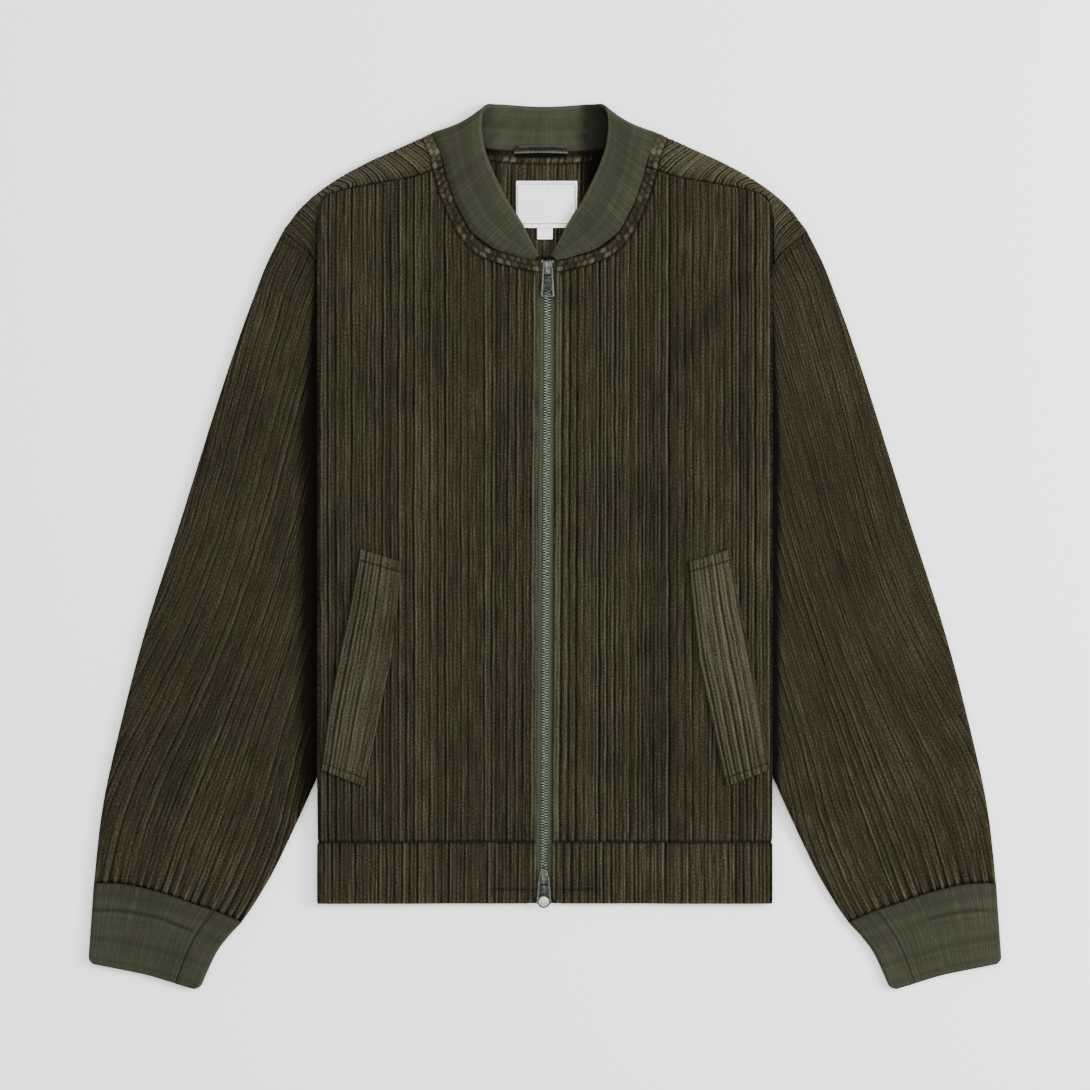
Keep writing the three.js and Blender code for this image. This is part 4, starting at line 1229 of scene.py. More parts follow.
@dataclass
class Sleeve:
    """A corduroy sleeve, laid flat beside the body and gathered into its cuff."""

    side: Side
    puff: float = 1.3
    gathered_from: float = 0.8

    def build(self) -> bpy.types.Object:
        """Make the sleeve's tube."""
        a, level, top = (c[:, None] for c in Tube(190, 26, 0.012).columns())
        v = np.clip(row_shares(615, 3.0, 30, 1.3), 0.0008, 0.9999)[None]
        along = v * SLEEVE_LENGTH
        x, h = grid_patch(SLEEVE_OUTER, SLEEVE_INNER, ARMHOLE.reversed(), CUFF_SEAM, a, v)
        corner = 1.7 * np.exp(-((a * ARMHOLE_LENGTH / 4) ** 2) - (along / 3) ** 2)
        x, h = x - 0.45 * corner, h + 0.9 * corner
        lower, upper = sleeve_z(x, h)
        free = ease(x, 205, 240)
        rise = self.puff * np.sin(math.pi * a) * np.sin(math.pi * v) * free
        rise = rise + creases_at(SLEEVE_CREASES[self.side], x, h) * free * np.sin(math.pi * a) ** 0.5
        width = self.width(v)
        lean = mix(38, -22, a) * ease(v, 0.42, 1.05)
        across = (a - 0.5) * width + lean
        height, shade = SLEEVE_WALES.relief(across + 200 + 250 * (self.side is Side.LEFT), along)
        shade = 0.56 + 0.64 * (shade - 0.56)
        cuff_gap = (1 - v) * SLEEVE_LENGTH
        gather = np.exp(-cuff_gap / 17)
        phase = across * CIRCLE / 6.6 + 5 * drift(3, across, 24) + 0.03 * cuff_gap
        height = height + gather * (0.85 * np.sin(phase)) - 0.3 * gather
        line = bump(along, 6.5, 0.8) * (0.7 + 0.3 * np.sin(a * ARMHOLE_LENGTH))
        height = height + seam_dip(along, 0.8, 1.8) + seam_dip(cuff_gap, 0.8, 2) - 0.5 * line
        # Near the cuff the colour follows the gathers, lighter on their crests and darker between them, as
        # painted shade.
        shade = shade - 0.35 * line - 0.6 * bump(cuff_gap, 0, 2.2) + 0.36 * gather * np.sin(phase)
        height = np.where(top > 0, height, 0.25 * (level > 0))
        middle, half = (lower + upper) / 2, (upper - lower) / 2
        z = middle + half * level + np.where(level > 0.9, rise, 0)
        points = points_at(self.side.value * x, h, z)
        # A painted shadow: the colour beside the body's side fold is darkened, in a wider band on the left
        # sleeve than the right and narrowing towards the shoulder.
        shadow = mix(16, 4, ease(h, 400, 560)) * (1 if self.side is Side.LEFT else 0.45)
        dark = -1.1 * (1 - ease(x - FRONT_FOLD_X, 0.45 * shadow, 1.5 * shadow)) * (h < 600)
        runs = np.where(level < 0, across + 2 * width, across)
        sheet = Sheet(points, height, np.clip(shade, 0, 1.2), runs, along, dark,
                      closed=True, turn=self.side.value)
        return sheet.build(f"sleeve_{self.side.label}_cloth")

    def width(self, v: Array) -> Array:
        """The sleeve's width across its length, which stays the same where it is gathered."""
        v = np.minimum(v, self.gathered_from)
        outer, inner = SLEEVE_OUTER.at(v), SLEEVE_INNER.at(v)
        ahead = (SLEEVE_OUTER.at(v + 0.02) + SLEEVE_INNER.at(v + 0.02)) / 2
        way = unit(ahead - (outer + inner) / 2)
        span = inner - outer
        return np.abs(span[..., 0] * way[..., 1] - span[..., 1] * way[..., 0])

    def dress(self, piece: bpy.types.Object, finishes: Finishes) -> None:
        """Dress the sleeve."""
        settle(piece, f"sleeve_{self.side.label}", finishes.corduroy, "corduroy")


@dataclass
class Cuff:
    """A rib-knit cuff: a doubled tube with fine ribs along it."""

    side: Side
    rib: float = 2.7

    def build(self) -> bpy.types.Object:
        """Make the cuff's tube."""
        a, level, top = (c[:, None] for c in Tube(150, 24, 0.016).columns())
        v = np.concatenate([[0.004, 0.015, 0.03], columns_to(0.05, 0.97, 0.012), [0.985, 1]])[None]
        round_a = a * CUFF_WIDTH
        round_v = v * 60
        side_gap = np.minimum(a, 1 - a) * CUFF_WIDTH
        corner = 5.5 * (1 - np.sqrt(1 - np.clip(1 - side_gap / 5.5, 0, 1) ** 2))
        shares = v * (1 - corner / CUFF_LENGTH)
        x, h = grid_patch(CUFF_OUTER, CUFF_INNER, CUFF_SEAM, CUFF_EDGE, a, shares)
        crown = 0.6 * np.sin(math.pi * a) * np.sin(math.pi * v)
        crown = crown + 0.7 * bump(v + 0.05 * np.sin(9 * a), 0.52, 0.13) * np.sin(math.pi * a)
        crown = crown + 0.5 * bump(v - 0.3 * (a - 0.5), 0.8, 0.1) * bump(a, 0.7, 0.25)
        wave = np.cos(round_a / self.rib * CIRCLE)
        height = 0.13 * wave - 0.35 * bump(v, 0, 0.03) - 0.25 * bump(v, 1, 0.03)
        seam = bump(a + 0.02 * v, 0.81, 0.0085)
        pucker = 0.2 * np.sin(round_a * CIRCLE / 7.7) * np.exp(-v / 0.14)
        fold = v - 0.33 + 0.03 * np.sin(4 * a) - 0.02 * drift(5, a * 100, 22)
        reach = 1 - ease(a, 0.7, 0.8)
        if self.side is Side.RIGHT:
            reach = ease(a, 0, 0.15) * (1 - ease(a, 0.45, 0.62))
        crease = bump(fold, 0, 0.02) * reach
        step = 0.7 * (1 - ease(fold, -0.03, 0.01)) * reach + 0.5 * ease(a + 0.02 * v, 0.8, 0.815)
        height = np.where(top > 0, height + pucker - 0.7 * seam - 0.6 * crease + step, 0.05)
        lines = drift(np.floor(round_a / 1.3), round_v, 21) - 0.5
        courses = drift(5, round_v, 1.9) - 0.5
        line = bump(np.mod(round_a + 9, 29) - 14, 0, 0.7) * (drift(8, round_v, 4) - 0.2)
        # The ribs are a little lighter on their crests as painted shade.
        shade = 0.5 + 0.05 * wave + 0.28 * lines + 0.3 * courses - 0.7 * seam - 0.4 * bump(v, 0, 0.035)
        # The crease is darkened as painted shade, with a painted highlight on the fold just past it.
        shade = shade - 0.42 * crease + 0.2 * bump(fold, 0.04, 0.03) * reach + 0.4 * line
        z = 2.6 + 1.5 * level + np.where(level > 0.9, crown, 0)
        points = points_at(self.side.value * x, h, z)
        runs = np.where(level < 0, 260 + round_a, round_a)
        sheet = Sheet(points, height, np.clip(shade, 0, 1), runs, v * CUFF_LENGTH,
                      thickness=KNIT, closed=True, turn=self.side.value)
        return sheet.build(f"cuff_{self.side.label}_knit")

    def dress(self, piece: bpy.types.Object, finishes: Finishes) -> None:
        """Dress the cuff."""
        settle(piece, f"cuff_{self.side.label}", finishes.knit, "rib_knit")


COLLAR_STATIONS = np.array(
    [  # the free edge's x and h, the neck seam's x and h, how far it has turned over, and its hollow
        (5.6, 567.2, 9.5, 564.6, 0, 0),
        (8.9, 573.1, 18, 565.8, 0, 0),
        (20, 596, 44, 573.4, 0, 0),
        (34, 617.8, 64.5, 588.6, 0, 0),
        (46.3, 643, 78.2, 615, 0, 0),
        (53.3, 662.4, 85.2, 636.5, 0, 0.3),
        (55.6, 679.5, 89.8, 655, 0, 1.6),
        (54.9, 690.5, 95.2, 668.2, 0, 3.2),
        (53.2, 695.6, 96.6, 669.9, 0.25, 3.5),
        (50.6, 698.9, 97.4, 671.4, 0.5, 3.5),
        (47.2, 700.4, 96.4, 672.8, 0.75, 3.5),
        (43, 700.8, 90.5, 674.8, 1, 3),
        (33, 700.2, 66, 664.5, 1, 1),
        (17, 698.9, 33, 659.7, 1, 0),
        (0, 698.3, 0, 658.5, 1, 0),
    ]
)


@dataclass
class Collar:
    """The rib-knit collar: over the front at both sides, and round behind the neck."""

    back_z: float = KNIT / 2
    front_z: float = 8.0
    crown: float = 1.2
    rib: float = 2.6

    def build(self) -> bpy.types.Object:
        """Make the collar's band."""
        steps = (columns_to(0, 7, 0.03), columns_to(7, 11, 0.1)[1:], columns_to(11, 14, 0.045)[1:])
        place = np.concatenate(steps)
        station = np.arange(len(COLLAR_STATIONS))
        table = np.stack([np.interp(place, station, COLLAR_STATIONS[:, k]) for k in range(6)], axis=-1)
        for k in (0, 1, 2, 3, 5):
            padded = np.pad(table[:, k], 8, mode="edge")
            table[2:-2, k] = np.convolve(padded, np.ones(17) / 17, "valid")[2:-2]
        free_x, free_h, seam_x, seam_h, turn, hollow = (table[:, k, None] for k in range(6))
        across = np.concatenate([[0, 0.02, 0.06], columns_to(0.1, 0.92, 0.035), [0.96, 1]])[None]
        x, h = mix(free_x, seam_x, across), mix(free_h, seam_h, across)
        run = unit(np.stack([seam_x - free_x, seam_h - free_h], axis=-1))
        radius = (self.front_z - self.back_z) / 2
        angle = math.pi * turn
        out = radius * np.sin(angle) * (0.3 + 0.7 * across) - hollow * np.sin(math.pi * across)
        front = ease(np.cos(angle), -0.2, 1)
        crown = self.crown * np.sin(math.pi * across) * front
        dip = 1.5 * ease(across, 0.82, 1) * front
        z = self.back_z + radius + radius * np.cos(angle) + crown - dip
        reach = mix(0.45, 0.7, front) * ease(across, 0.8, 1)
        x = x + run[..., 0] * reach - run[..., 1] * out
        h = h + run[..., 1] * reach + run[..., 0] * out
        half = points_at(x, h, z)
        length = np.concatenate([[0], np.cumsum(np.linalg.norm(np.diff(half[:, -1], axis=0), axis=-1))])
        other = half[:-1][::-1] * [-1, 1, 1]
        points = np.concatenate([half, other])
        along = np.concatenate([length, 2 * length[-1] - length[:-1][::-1]])[:, None]
        wave = np.cos(along * CIRCLE / self.rib)
        down = across * COLLAR_WIDTH
        seam_gap = (1 - across) * COLLAR_WIDTH
        pucker = 0.22 * np.sin(along * CIRCLE / 6.9 + 2 * drift(2, along, 25)) * np.exp(-seam_gap / 5)
        height = 0.07 * wave + 0.5 * seam_dip(down, 0.6, 1.5) + seam_dip(seam_gap, 0.5, 1.5) + pucker
        lines = drift(np.floor(along / 1.25), down, 26) - 0.5
        courses = drift(7, down, 1.9) - 0.5
        # The ribs, and the puckers beside the neck seam, are lighter on their crests as painted shade.
        shade = 0.5 + 0.05 * wave + 0.3 * lines * (0.4 + 0.6 * drift(4, along, 30)) + 0.3 * courses
        shade = shade - 0.3 * bump(seam_gap, 0, 1.5) + 0.5 * pucker
        # A painted highlight along the collar's free edge.
        edge = 0.55 * bump(down, 1.6, 1.5)
        turned = np.concatenate([turn, turn[:-1][::-1]])
        inside = ease(turned, 0.5, 1)
        # Painted shadow inside the neck: on the part turned behind it the colour is darkened towards the
        # right end and a little at the left, and a little paler elsewhere.
        dark = -1.7 * ease(points[..., 0], 28, 39) - 0.35 * (1 - ease(points[..., 0], -50, -40))
        wear_and_painted_light = edge + inside * (0.18 + dark)
        sheet = Sheet(points, height, np.clip(shade, 0, 1), along, down, wear_and_painted_light, thickness=KNIT, turn=-1)
        return sheet.build("collar_knit")

    def dress(self, piece: bpy.types.Object, finishes: Finishes) -> None:
        """Dress the collar."""
        settle(piece, "collar", finishes.knit, "rib_knit")


@dataclass
class NeckPieces:
    """What shows inside the neck: the facing, the bare label, the size tab and the loop."""

    span: float = 82.0
    label: tuple[float, float, float, float] = (-25.3, 28.1, 592.0, 633.0)
    tab: tuple[float, float, float, float] = (-6.9, 6.7, 582.0, 591.7)

    def facing(self) -> bpy.types.Object:
        """Make the facing of corduroy below the back neck seam."""
        x = columns_to(-self.span, self.span)[:, None]
        v = row_shares(80, 2.6)[None]
        low = FRONT_NECK.read("x", np.maximum(np.abs(x), 7), "h") + 3
        high = BACK_NECK.read("x", np.abs(x), "h") + 0.2
        h = mix(low, high, v)
        height, shade = WALES.relief(x + 900, h)
        height, shade = Strip(middle=0).mark(high - h, x + 100, height, shade)
        points = points_at(x, h, CLOTH + SEAM_GAP + 0.5)
        # Painted shadow inside the neck: the facing's colour is darkened towards its right and a little at
        # its left, and a little paler elsewhere.
        wear_and_painted_light = 0.12 - 1.5 * ease(x + 0.12 * (h - 640), 24, 47) - 0.5 * (1 - ease(x, -52, -34))
        # A painted shadow in a thin line just under the hanger loop.
        painted_shadow_under_loop = ease(x, -28, -24) * (1 - ease(x, 17, 21))
        wear_and_painted_light = wear_and_painted_light - 1.2 * bump(h, 655.5, 1.6) * painted_shadow_under_loop
        sheet = Sheet(points, 0.6 * height, shade, x, h, wear_and_painted_light, thickness=1.0)
        return sheet.build("neck_facing_cloth")

    def flat(self, name: str, box: tuple[float, float, float, float]) -> bpy.types.Object:
        """Make a flat white label with its line of stitches near its edges."""
        left, right, low, high = box
        x = columns_to(left, right, 0.7)[:, None]
        h = columns_to(low, high, 0.7)[None]
        z = FACING_TOP_Z + SEAM_GAP + 0.5 + 0.16 * np.sin(x / 9 + 1) * np.sin(h / 13)
        points = points_at(x, h, z)
        edge = np.minimum(np.minimum(x - left, right - x), np.minimum(h - low, high - h))
        height = 0.08 * bump(edge, 0, 1.5) + 0.03
        return Sheet(points, height, 0.5, x, h, thickness=0.7).build(name)

    def stitches(self) -> bpy.types.Object:
        """Sew the label on: short grey threads modelled once and copied along its edges."""
        left, right, low, high = self.label
        pitch = 2.1
        across = np.arange(left + 2.6, right - 2.4, pitch)
        along = np.arange(low + 4.5, high - 3, pitch)
        spots = [(x, h, 0.0) for h in (high - 2.7, low + 3.6) for x in across]
        spots += [(x, h, 90.0) for x in (left + 1.5, right - 1.5) for h in along]
        return thread_run("label_stitches", spots, FACING_TOP_Z + SEAM_GAP + 1.35, 1.8, 0.42)

    def loop(self) -> bpy.types.Object:
        """Make the hanger loop, a flat band that stands off the cloth in its middle."""
        x = columns_to(-27, 20, 0.8)[:, None]
        e = columns_to(-1, 1, 0.16)[None]
        share = (x + 27) / 47
        z = FACING_TOP_Z + SEAM_GAP + 0.5 + 1.2 * np.sin(math.pi * share)
        h = 660.5 + 3.5 * e + 0.5 * np.sin(math.pi * share)
        taper = 1 - 0.17 * ease(e, -0.6, 1)
        points = points_at(-3.5 + (x + 3.5) * taper, h, z)
        height = 0.12 * bump(e, -0.86, 0.12)
        # Painted highlights along the loop's lower edge and a little along its upper edge, painted shade
        # across its middle, and the whole band darker.
        wear_and_painted_light = 0.7 * bump(e, -0.82, 0.18) + 0.12 * bump(e, 0.8, 0.2) - 0.28 * bump(e, 0, 0.5) - 0.3
        return Sheet(points, height, 0.4, x, h, wear_and_painted_light, thickness=0.9).build("hanger_loop_band")

    def dress(self, pieces: dict[str, bpy.types.Object], finishes: Finishes) -> None:
        """Dress the five pieces."""
        seat(pieces["loop"], "hanger_loop", finishes.loop, "tape")
        seat(pieces["stitches"], "", finishes.thread, "label")
        settle(pieces["facing"], "back_neck_facing", finishes.corduroy, "corduroy")
        settle(pieces["label"], "neck_label", finishes.label, "label")
        settle(pieces["tab"], "size_tab", finishes.label, "label")


def thread_run(
    name: str, spots: Sequence[tuple[float, float, float]], z: float, length: float, radius: float
) -> bpy.types.Object:
    """Model one stitch, and copy it to every place.

    Args:
        name: the joined stitches' name.
        spots: each stitch's x, h and turn in degrees.
        z: the stitches' middle height, in millimetres.
        length: a stitch's length.
        radius: the thread's radius.

    Returns:
        One piece with all the stitches.
    """
    bpy.ops.object.select_all(action="DESELECT")
    bpy.ops.mesh.primitive_uv_sphere_add(segments=6, ring_count=5, radius=radius * MM)
    bpy.ops.object.mode_set(mode="EDIT")
    bpy.ops.mesh.select_all(action="SELECT")
    bpy.ops.transform.resize(value=(length / radius / 2, 1, 0.8))
    bpy.ops.object.mode_set(mode="OBJECT")
    bpy.ops.object.shade_smooth()
    model = bpy.context.object
    copies = []
    for x, h, turn in spots:
        copy = model.copy()
        copy.data = model.data.copy()
        bpy.context.scene.collection.objects.link(copy)
        copy.location = (x * MM, h * MM + HEM_Y, z * MM)
        copy.rotation_euler = (0, 0, math.radians(turn))
        copies.append(copy)
    bpy.data.objects.remove(model)
    piece = join_pieces(name, copies)
    bpy.ops.object.transform_apply(location=True, rotation=True, scale=True)
    return piece


WELT_ROWS = np.array(
    [  # inner x, outer x, inner h and outer h, from the top end to the bottom one
        (125.6, 161.5, 299.3, 310.6),
        (130, 170, 254, 262),
        (134.5, 178.5, 215, 222),
        (142.5, 186, 178, 184),
        (150, 191.5, 140, 150),
        (158.5, 196, 103.3, 118),
    ]
)


@dataclass
class PocketWelt:
    """A slanted welt over its pocket, with its own wales along it."""

    side: Side
    end_stitch: float = 7.5

    def build(self) -> bpy.types.Object:
        """Make the welt."""
        v = columns_to(0, 1, 1.1 / WELT_LENGTH)[None]
        u = columns_to(0, 1, 0.8 / 40)[:, None]
        steps = np.linspace(0, 1, len(WELT_ROWS))
        inner_x, outer_x, inner_h, outer_h = (np.interp(v, steps, WELT_ROWS[:, k]) for k in range(4))
        x, h = mix(inner_x, outer_x, u), mix(inner_h, outer_h, u)
        place = u * WELT_WIDTH
        height, shade = WALES.relief(place + 1200 + 60 * (self.side is Side.LEFT), v * WELT_LENGTH)
        ends = np.minimum(v, 1 - v) * WELT_LENGTH
        line = bump(ends, self.end_stitch, 0.6) + bump(place, 3.2, 0.45) * 0.6
        strip = 1 - ease(ends, self.end_stitch - 1, self.end_stitch)
        chop = np.abs(place / 3.4 - np.round(place / 3.4)) * 3.4
        height = mix(height, WALE_HEIGHT * (0.55 + 0.4 * drift(8, place + 3 * v * WELT_LENGTH, 3)), strip)
        height = 0.8 * height - 0.5 * line - 0.2 * strip * bump(chop, 0, 0.5) + seam_dip(ends, 0.5, 1)
        edge = np.minimum(place, WELT_WIDTH - place)
        height = height + seam_dip(edge, 0.5, 1)
        shade = np.clip(shade - 0.5 * line, 0, 1.2)
        z = front_z(x, h) + front_creases(self.side, x, h) + WELT_LIFT
        points = points_at(self.side.value * x, h, z)
        sheet = Sheet(points, height, shade, place, v * WELT_LENGTH, 0.3, every=4, turn=-self.side.value)
        return sheet.build(f"pocket_welt_{self.side.label}_cloth")

    def dress(self, piece: bpy.types.Object, finishes: Finishes) -> None:
        """Dress the welt."""
        node = f"pocket_welt_{self.side.label}"
        settle(piece, node, finishes.corduroy, "corduroy")


def block(size: Triple, place: Triple, bevel: float, segments: int) -> bpy.types.Object:
    """Model a block with bevelled edges.

    Args:
        size: its size along x, h and z, in millimetres.
        place: its middle.
        bevel: its edges' radius.
        segments: the bevel's steps.

    Returns:
        The block.
    """
    bpy.ops.object.select_all(action="DESELECT")
    bpy.ops.mesh.primitive_cube_add(size=1)
    bpy.ops.object.mode_set(mode="EDIT")
    bpy.ops.mesh.select_all(action="SELECT")
    bpy.ops.transform.resize(value=[part * MM for part in size])
    bpy.ops.transform.translate(value=[part * MM for part in place])
    bpy.ops.mesh.bevel(offset=bevel * MM, segments=segments, affect="EDGES")
    bpy.ops.object.mode_set(mode="OBJECT")
    return bpy.context.object


@dataclass
class Zip:
    """The zip: two woven tapes, two rows of teeth, and a slider with its pull at each end."""

    teeth_pitch: float = 2.36
    bottom: float = 30.0
    top: float = 551.0

    def tape(self, side: Side) -> bpy.types.Object:
        """Make one tape, with the corded edge beside the teeth."""
        x = columns_to(0.25, 13, 0.5)[:, None]
        h = columns_to(6, 563, 4)[None]
        points = points_at(side.value * x + zip_x(h), h, 2.25)
        height = 0.22 * bump(x, 3.4, 0.8)
        # Darkened close to the teeth as painted shade, with a paler line along the outside of the corded
        # edge and a little darker beyond it.
        wear_and_painted_light = 0.55 * bump(x, 4.3, 0.9) - 0.5 * (1 - ease(x, 2.8, 3.4)) - 0.15 * ease(x, 5, 6.2)
        sheet = Sheet(points, height, 0.5, x + 20 * side.value, h, wear_and_painted_light, thickness=0.7, turn=side.value)
        return sheet.build(f"zip_tape_{side.label}_weave")

    def tooth(self, side: Side) -> bpy.types.Object:
        """Model one tooth: a rounded block and a smaller head that reaches past the middle."""
        body = block((2.7, 1.35, 1.8), (side.value * 1.5, 0, 3.8), 0.28, 2)
        head = block((1.3, 0.7, 1.5), (side.value * -0.2, 0, 3.75), 0.2, 1)
        return join_pieces("zip_tooth", [body, head])

    def teeth(self) -> bpy.types.Object:
        """Copy the tooth along both rows, half a pitch apart."""
        rows = []
        for side in Side:
            tooth = self.tooth(side)
            count = int((self.top - self.bottom) / self.teeth_pitch)
            first = self.bottom + (0.5 * self.teeth_pitch if side is Side.RIGHT else 0)
            array = tooth.modifiers.new("teeth", "ARRAY")
            array.use_relative_offset = False
            array.use_constant_offset = True
            lean = (zip_x(self.top) - zip_x(self.bottom)) / (self.top - self.bottom)
            pitch = self.teeth_pitch * MM
            array.constant_offset_displace = (float(lean) * pitch, pitch, 0)
            array.count = count
            tooth.location = (float(zip_x(first)) * MM, first * MM + HEM_Y, 0)
            bpy.context.view_layer.objects.active = tooth
            bpy.ops.object.modifier_apply(modifier="teeth")
            rows.append(tooth)
        piece = join_pieces("zip_teeth", rows)
        bpy.ops.object.transform_apply(location=True, rotation=True, scale=True)
        return piece

    def dress(self, finishes: Finishes) -> None:
        """Build and dress the zip's tapes and teeth."""
        for side in Side:
            node = f"zip_tape_{side.label}"
            settle(self.tape(side), node, finishes.tape, "tape")
        seat(self.teeth(), "zip_chain", finishes.teeth, "zip_teeth")


def soften(bevel: float) -> None:
    """Round the edges of the shape at hand, by a radius in millimetres."""
    soft = bpy.context.object.modifiers.new("soft_edges", "BEVEL")
    soft.width = bevel * MM
    soft.segments = 2
    soft.limit_method = "ANGLE"
    bpy.ops.object.modifier_apply(modifier=soft.name)
    bpy.ops.object.shade_smooth_by_angle(angle=math.radians(35))


def model(place: Triple, bevel: float, turn: float = 0.0) -> bpy.types.Object:
    """Finish the shape at hand: set it in its place and round its edges.

    Args:
        place: its x, h and z, in millimetres.
        bevel: its rounded edges' radius, or nothing for sharp ones.
        turn: its turn about z, in degrees.

    Returns:
        The piece.
    """
    piece = bpy.context.object
    piece.location = (place[0] * MM, place[1] * MM + HEM_Y, place[2] * MM)
    piece.rotation_euler = (0, 0, math.radians(turn))
    bpy.ops.object.transform_apply(location=True, rotation=True, scale=True)
    if bevel > 0:
        soften(bevel)
    else:
        bpy.ops.object.shade_smooth_by_angle(angle=math.radians(35))
    return piece


def plate(
    size: Triple, place: Triple, taper: float, corner: float, bevel: float, turn: float = 0.0
) -> bpy.types.Object:
    """Model a plate with rounded corners: a plane, tapered, its corners bevelled, then extruded up.

    Args:
        size: its width at its upper end, its length and its thickness, in millimetres.
        place: the middle of its under face.
        taper: its lower end's width as a share of its upper end's.
        corner: its corners' radius.
        bevel: its edges' radius.
        turn: its turn about z, in degrees.

    Returns:
        The plate.
    """
    bpy.ops.object.select_all(action="DESELECT")
    bpy.ops.mesh.primitive_plane_add(size=1)
    mesh = bpy.context.object.data
    for part in (*mesh.polygons, *mesh.edges):
        part.select = False
    for vertex in mesh.vertices:
        vertex.select = vertex.co.y < 0
    bpy.ops.object.mode_set(mode="EDIT")
    bpy.ops.transform.resize(value=(taper, 1, 1))
    bpy.ops.mesh.select_all(action="SELECT")
    bpy.ops.transform.resize(value=(size[0] * MM, size[1] * MM, 1))
    bpy.ops.mesh.bevel(offset=corner * MM, segments=4, affect="VERTICES")
    bpy.ops.mesh.extrude_region_move(TRANSFORM_OT_translate={"value": (0, 0, size[2] * MM)})
    bpy.ops.mesh.select_all(action="SELECT")
    bpy.ops.mesh.normals_make_consistent(inside=False)
    bpy.ops.object.mode_set(mode="OBJECT")
    return model(place, bevel, turn)


def disc(radius: float, depth: float, place: Triple, bevel: float) -> bpy.types.Object:
    """Model a round plate around its place from a cylinder, all sizes in millimetres."""
    bpy.ops.object.select_all(action="DESELECT")
    bpy.ops.mesh.primitive_cylinder_add(vertices=48, radius=radius * MM, depth=depth * MM)
    return model(place, bevel)


def carve(piece: bpy.types.Object, cutter: bpy.types.Object) -> bpy.types.Object:
    """Cut a shape out of a piece, and take the shape away."""
    hole = piece.modifiers.new("hole", "BOOLEAN")
    hole.operation = "DIFFERENCE"
    hole.solver = "EXACT"
    hole.object = cutter
    bpy.ops.object.select_all(action="DESELECT")
    piece.select_set(True)
    bpy.context.view_layer.objects.active = piece
    bpy.ops.object.modifier_apply(modifier="hole")
    bpy.data.objects.remove(cutter)
    return piece


@dataclass
class ZipEnd:
    """A slider with its bridge, and the pull that turns on it."""

    name: str
    h: float
    turn: float = 0.0
    width: float = 8.8
    length: float = 26.6
    taper: float = 1.36
    disc_radius: float = 0.0
    rim: float = 1.55
    thickness: float = 1.3

    @property
    def x(self) -> float:
        """The zip's middle at the slider."""
        return float(zip_x(self.h))

    def slider(self) -> bpy.types.Object:
        """Model the slider: two plates round the teeth, a bridge on two legs and its groove."""
        x, h = self.x, self.h
        top = plate((9.2, 12.4, 1.1), (x, h, 5.0), 0.74, 2.2, 0.35, self.turn)
        low = plate((8.6, 11.6, 0.9), (x, h, 2.9), 0.74, 2.2, 0.3, self.turn)
        core = plate((3.2, 9.0, 1.6), (x, h, 3.6), 0.7, 0.8, 0.0, self.turn)
        beam = plate((3.9, 12.2, 1.1), (x, h, 8.1), 0.95, 1.6, 0.35)
        beam = carve(beam, plate((1.5, 9.4, 1), (x, h, 8.75), 1, 0.5, 0))
        legs = [plate((2.9, 1.5, 2.6), (x, h + y, 5.8), 1, 0.4, 0) for y in (-5.0, 5.0)]
        parts = [top, low, core, beam, *legs]
        if self.turn == 0:
            spots = [(x + side.value * 4.7, h + 5.6, 2.55) for side in Side]
            parts += [plate((2.2, 3.2, 1.6), spot, 1, 0.6, 0.4) for spot in spots]
        return join_pieces(f"slider_{self.name}_metal", parts)

    def pull(self) -> dict[str, bpy.types.Object]:
        """Model the pull: a tapered rim and a sunk very dark plate that paints the shadow in its slot, and
        on the lower one a tongue and a disc.
        """
        x, h = self.x, self.h
        under = 7.1 - self.thickness / 2
        middle = h + 0.6 - self.length / 2
        rim = plate((self.width, self.length, self.thickness), (x, middle, under), self.taper, 1.3, 0)
        room = (self.width - 2 * self.rim, self.length - 0.8 - self.rim, 4)
        hole = plate(room, (x, middle + (self.rim - 0.8) / 2, 5), 1.5, 0.7, 0)
        rim = carve(rim, hole)
        bpy.context.view_layer.objects.active = rim
        rim.select_set(True)
        soften(0.4)
        first, last = 7.3, 20.6 if self.disc_radius == 0 else self.length - 3
        spot = (x, h - (last + first) / 2, under + 0.15)
        # The sunk plate fills the slot with very dark metal, a painted shadow.
        inner = plate((self.width - 1.9, last - first, 0.7), spot, 1.22, 0.3, 0.1)
        pieces = {"rim": rim, "plate": inner}
        if self.disc_radius > 0:
            middle = h - 21.6
            ring = disc(self.disc_radius + 1.2, self.thickness - 0.2, (x, middle, 7.0), 0.3)
            pieces["plate"] = join_pieces("plate", [inner, ring])
            tongue = plate((1.5, 6.2, 0.7), (x, h - 10.6, under + 0.6), 2.5, 0.3, 0.2)
            pieces["rim"] = join_pieces("rim", [rim, tongue])
            pieces["disc"] = disc(self.disc_radius, 0.5, (x, middle, 7.6), 0.2)
        return pieces

    def dress(self, finishes: Finishes) -> None:
        """Dress the slider, which stays on the jacket, and the pull, which turns on its bridge."""
        seat(self.slider(), f"zip_slider_{self.name}", finishes.metal, "zip_metal")
        # The sunk plate's very dark metal is painted shadow.
        metals = {"rim": finishes.metal, "plate": finishes.painted_slot_shadow, "disc": finishes.pale}
        for part, piece in self.pull().items():
            piece.name = f"pull_{self.name}_{part}"
            node = f"zip_pull_{self.name}" if part == "rim" else ""
            seat(piece, node, metals[part], "zip_metal", f"{self.name}_pull")


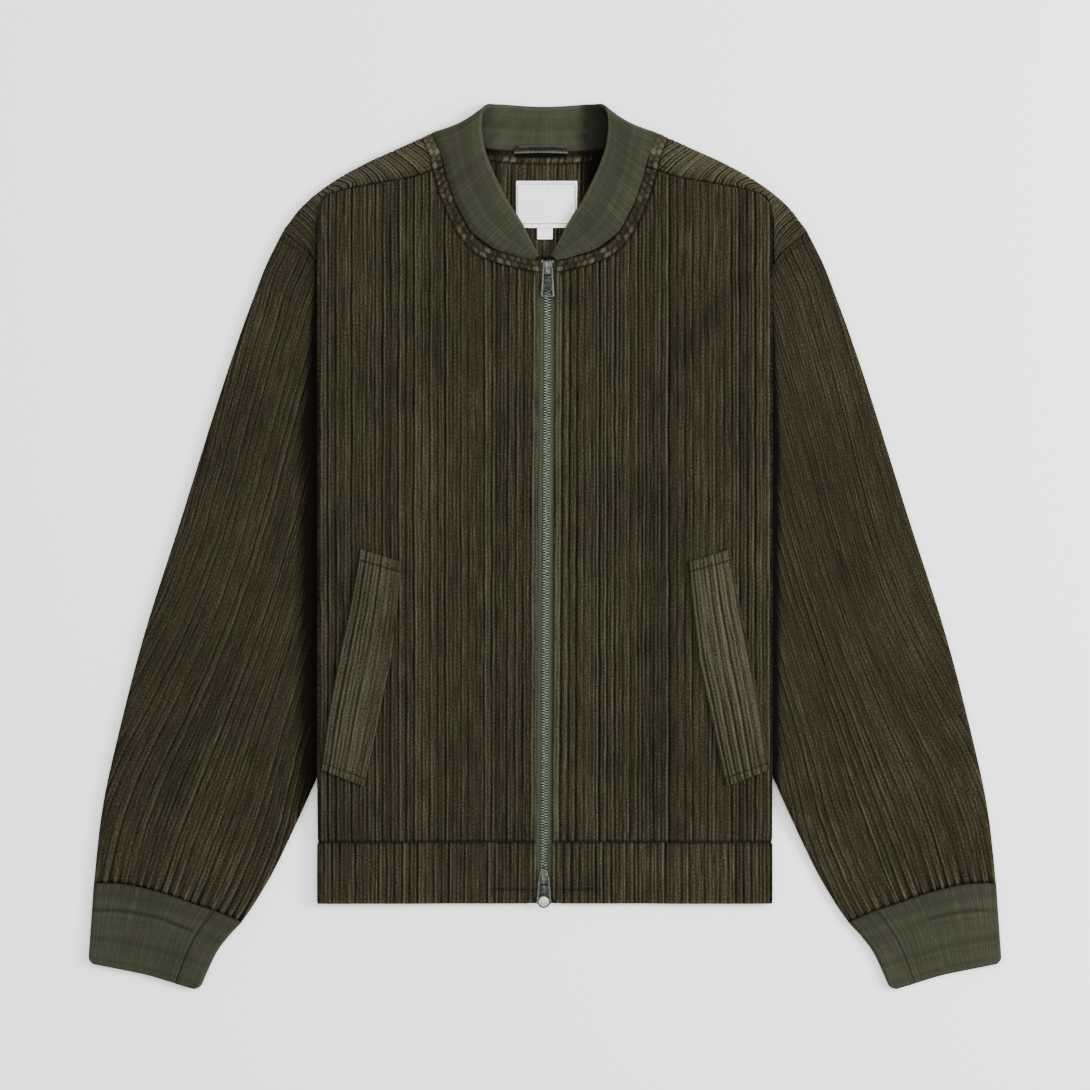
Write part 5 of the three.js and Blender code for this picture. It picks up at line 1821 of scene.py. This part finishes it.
def stage() -> None:
    """Set up the pale floor, the soft light and the camera straight above."""
    bpy.ops.object.select_all(action="DESELECT")
    bpy.ops.mesh.primitive_plane_add(size=9, location=(0, 0, -0.0006))
    floor = bpy.context.object
    floor.name = "floor"
    paint = Graph("floor_paint")
    paint.put(paint.shader.inputs["Base Color"], (0.93, 0.93, 0.93, 1))
    paint.surface(Roughness=0.9)
    floor.data.materials.append(paint.material)

    world = bpy.data.worlds.new("studio")
    world.use_nodes = True
    sky = world.node_tree.nodes["Background"]
    sky.inputs["Color"].default_value = (1, 1, 1, 1)
    sky.inputs["Strength"].default_value = 1.42
    bpy.context.scene.world = world

    lamp("key", (2.5, 0.25, 1.4), 150, 0.9)
    lamp("top", (0.15, 0.5, 2.3), 36, 2.0)

    lens = bpy.data.cameras.new("camera")
    lens.lens = 100
    lens.sensor_width = 36
    bpy.context.scene.camera = hang("camera", lens, (0, 0.0005, 2.657))


def hang(name: str, data: bpy.types.ID, place: Triple) -> bpy.types.Object:
    """Put a light or a camera in its place, in metres, as part of the stage."""
    stand = bpy.data.objects.new(name, data)
    bpy.context.scene.collection.objects.link(stand)
    stand.location = place
    return stand


def lamp(name: str, place: Triple, watts: float, size: float) -> None:
    """Hang a square area light that faces the jacket's middle.

    Args:
        name: the light's name.
        place: where it hangs, in metres.
        watts: its power.
        size: its side, in metres.
    """
    light = bpy.data.lights.new(name, "AREA")
    light.energy = watts
    light.size = size
    stand = hang(name, light, place)
    stand.rotation_euler = Vector(place).to_track_quat("Z", "Y").to_euler()


def main() -> None:
    """Build the jacket from its back to its front, dress it and light it."""
    finishes = Finishes()
    stage()
    back = BackCloth()
    back.dress(back.panel(), back.band(), finishes)
    neck = NeckPieces()
    neck.dress(
        {
            "facing": neck.facing(),
            "label": neck.flat("neck_label_cloth", neck.label),
            "tab": neck.flat("size_tab_cloth", neck.tab),
            "stitches": neck.stitches(),
            "loop": neck.loop(),
        },
        finishes,
    )
    for side in Side:
        for garment in (FrontPanel(side), FrontHemBand(side), PocketWelt(side), Sleeve(side), Cuff(side)):
            garment.dress(garment.build(), finishes)
    collar = Collar()
    collar.dress(collar.build(), finishes)
    Zip().dress(finishes)
    ZipEnd("top", TOP_SLIDER_H).dress(finishes)
    lower = ZipEnd(
        "bottom", BOTTOM_SLIDER_H, turn=180, width=9.2, length=24.2, taper=1.48, disc_radius=4.4
    )
    lower.dress(finishes)


if __name__ == "__main__":
    main()
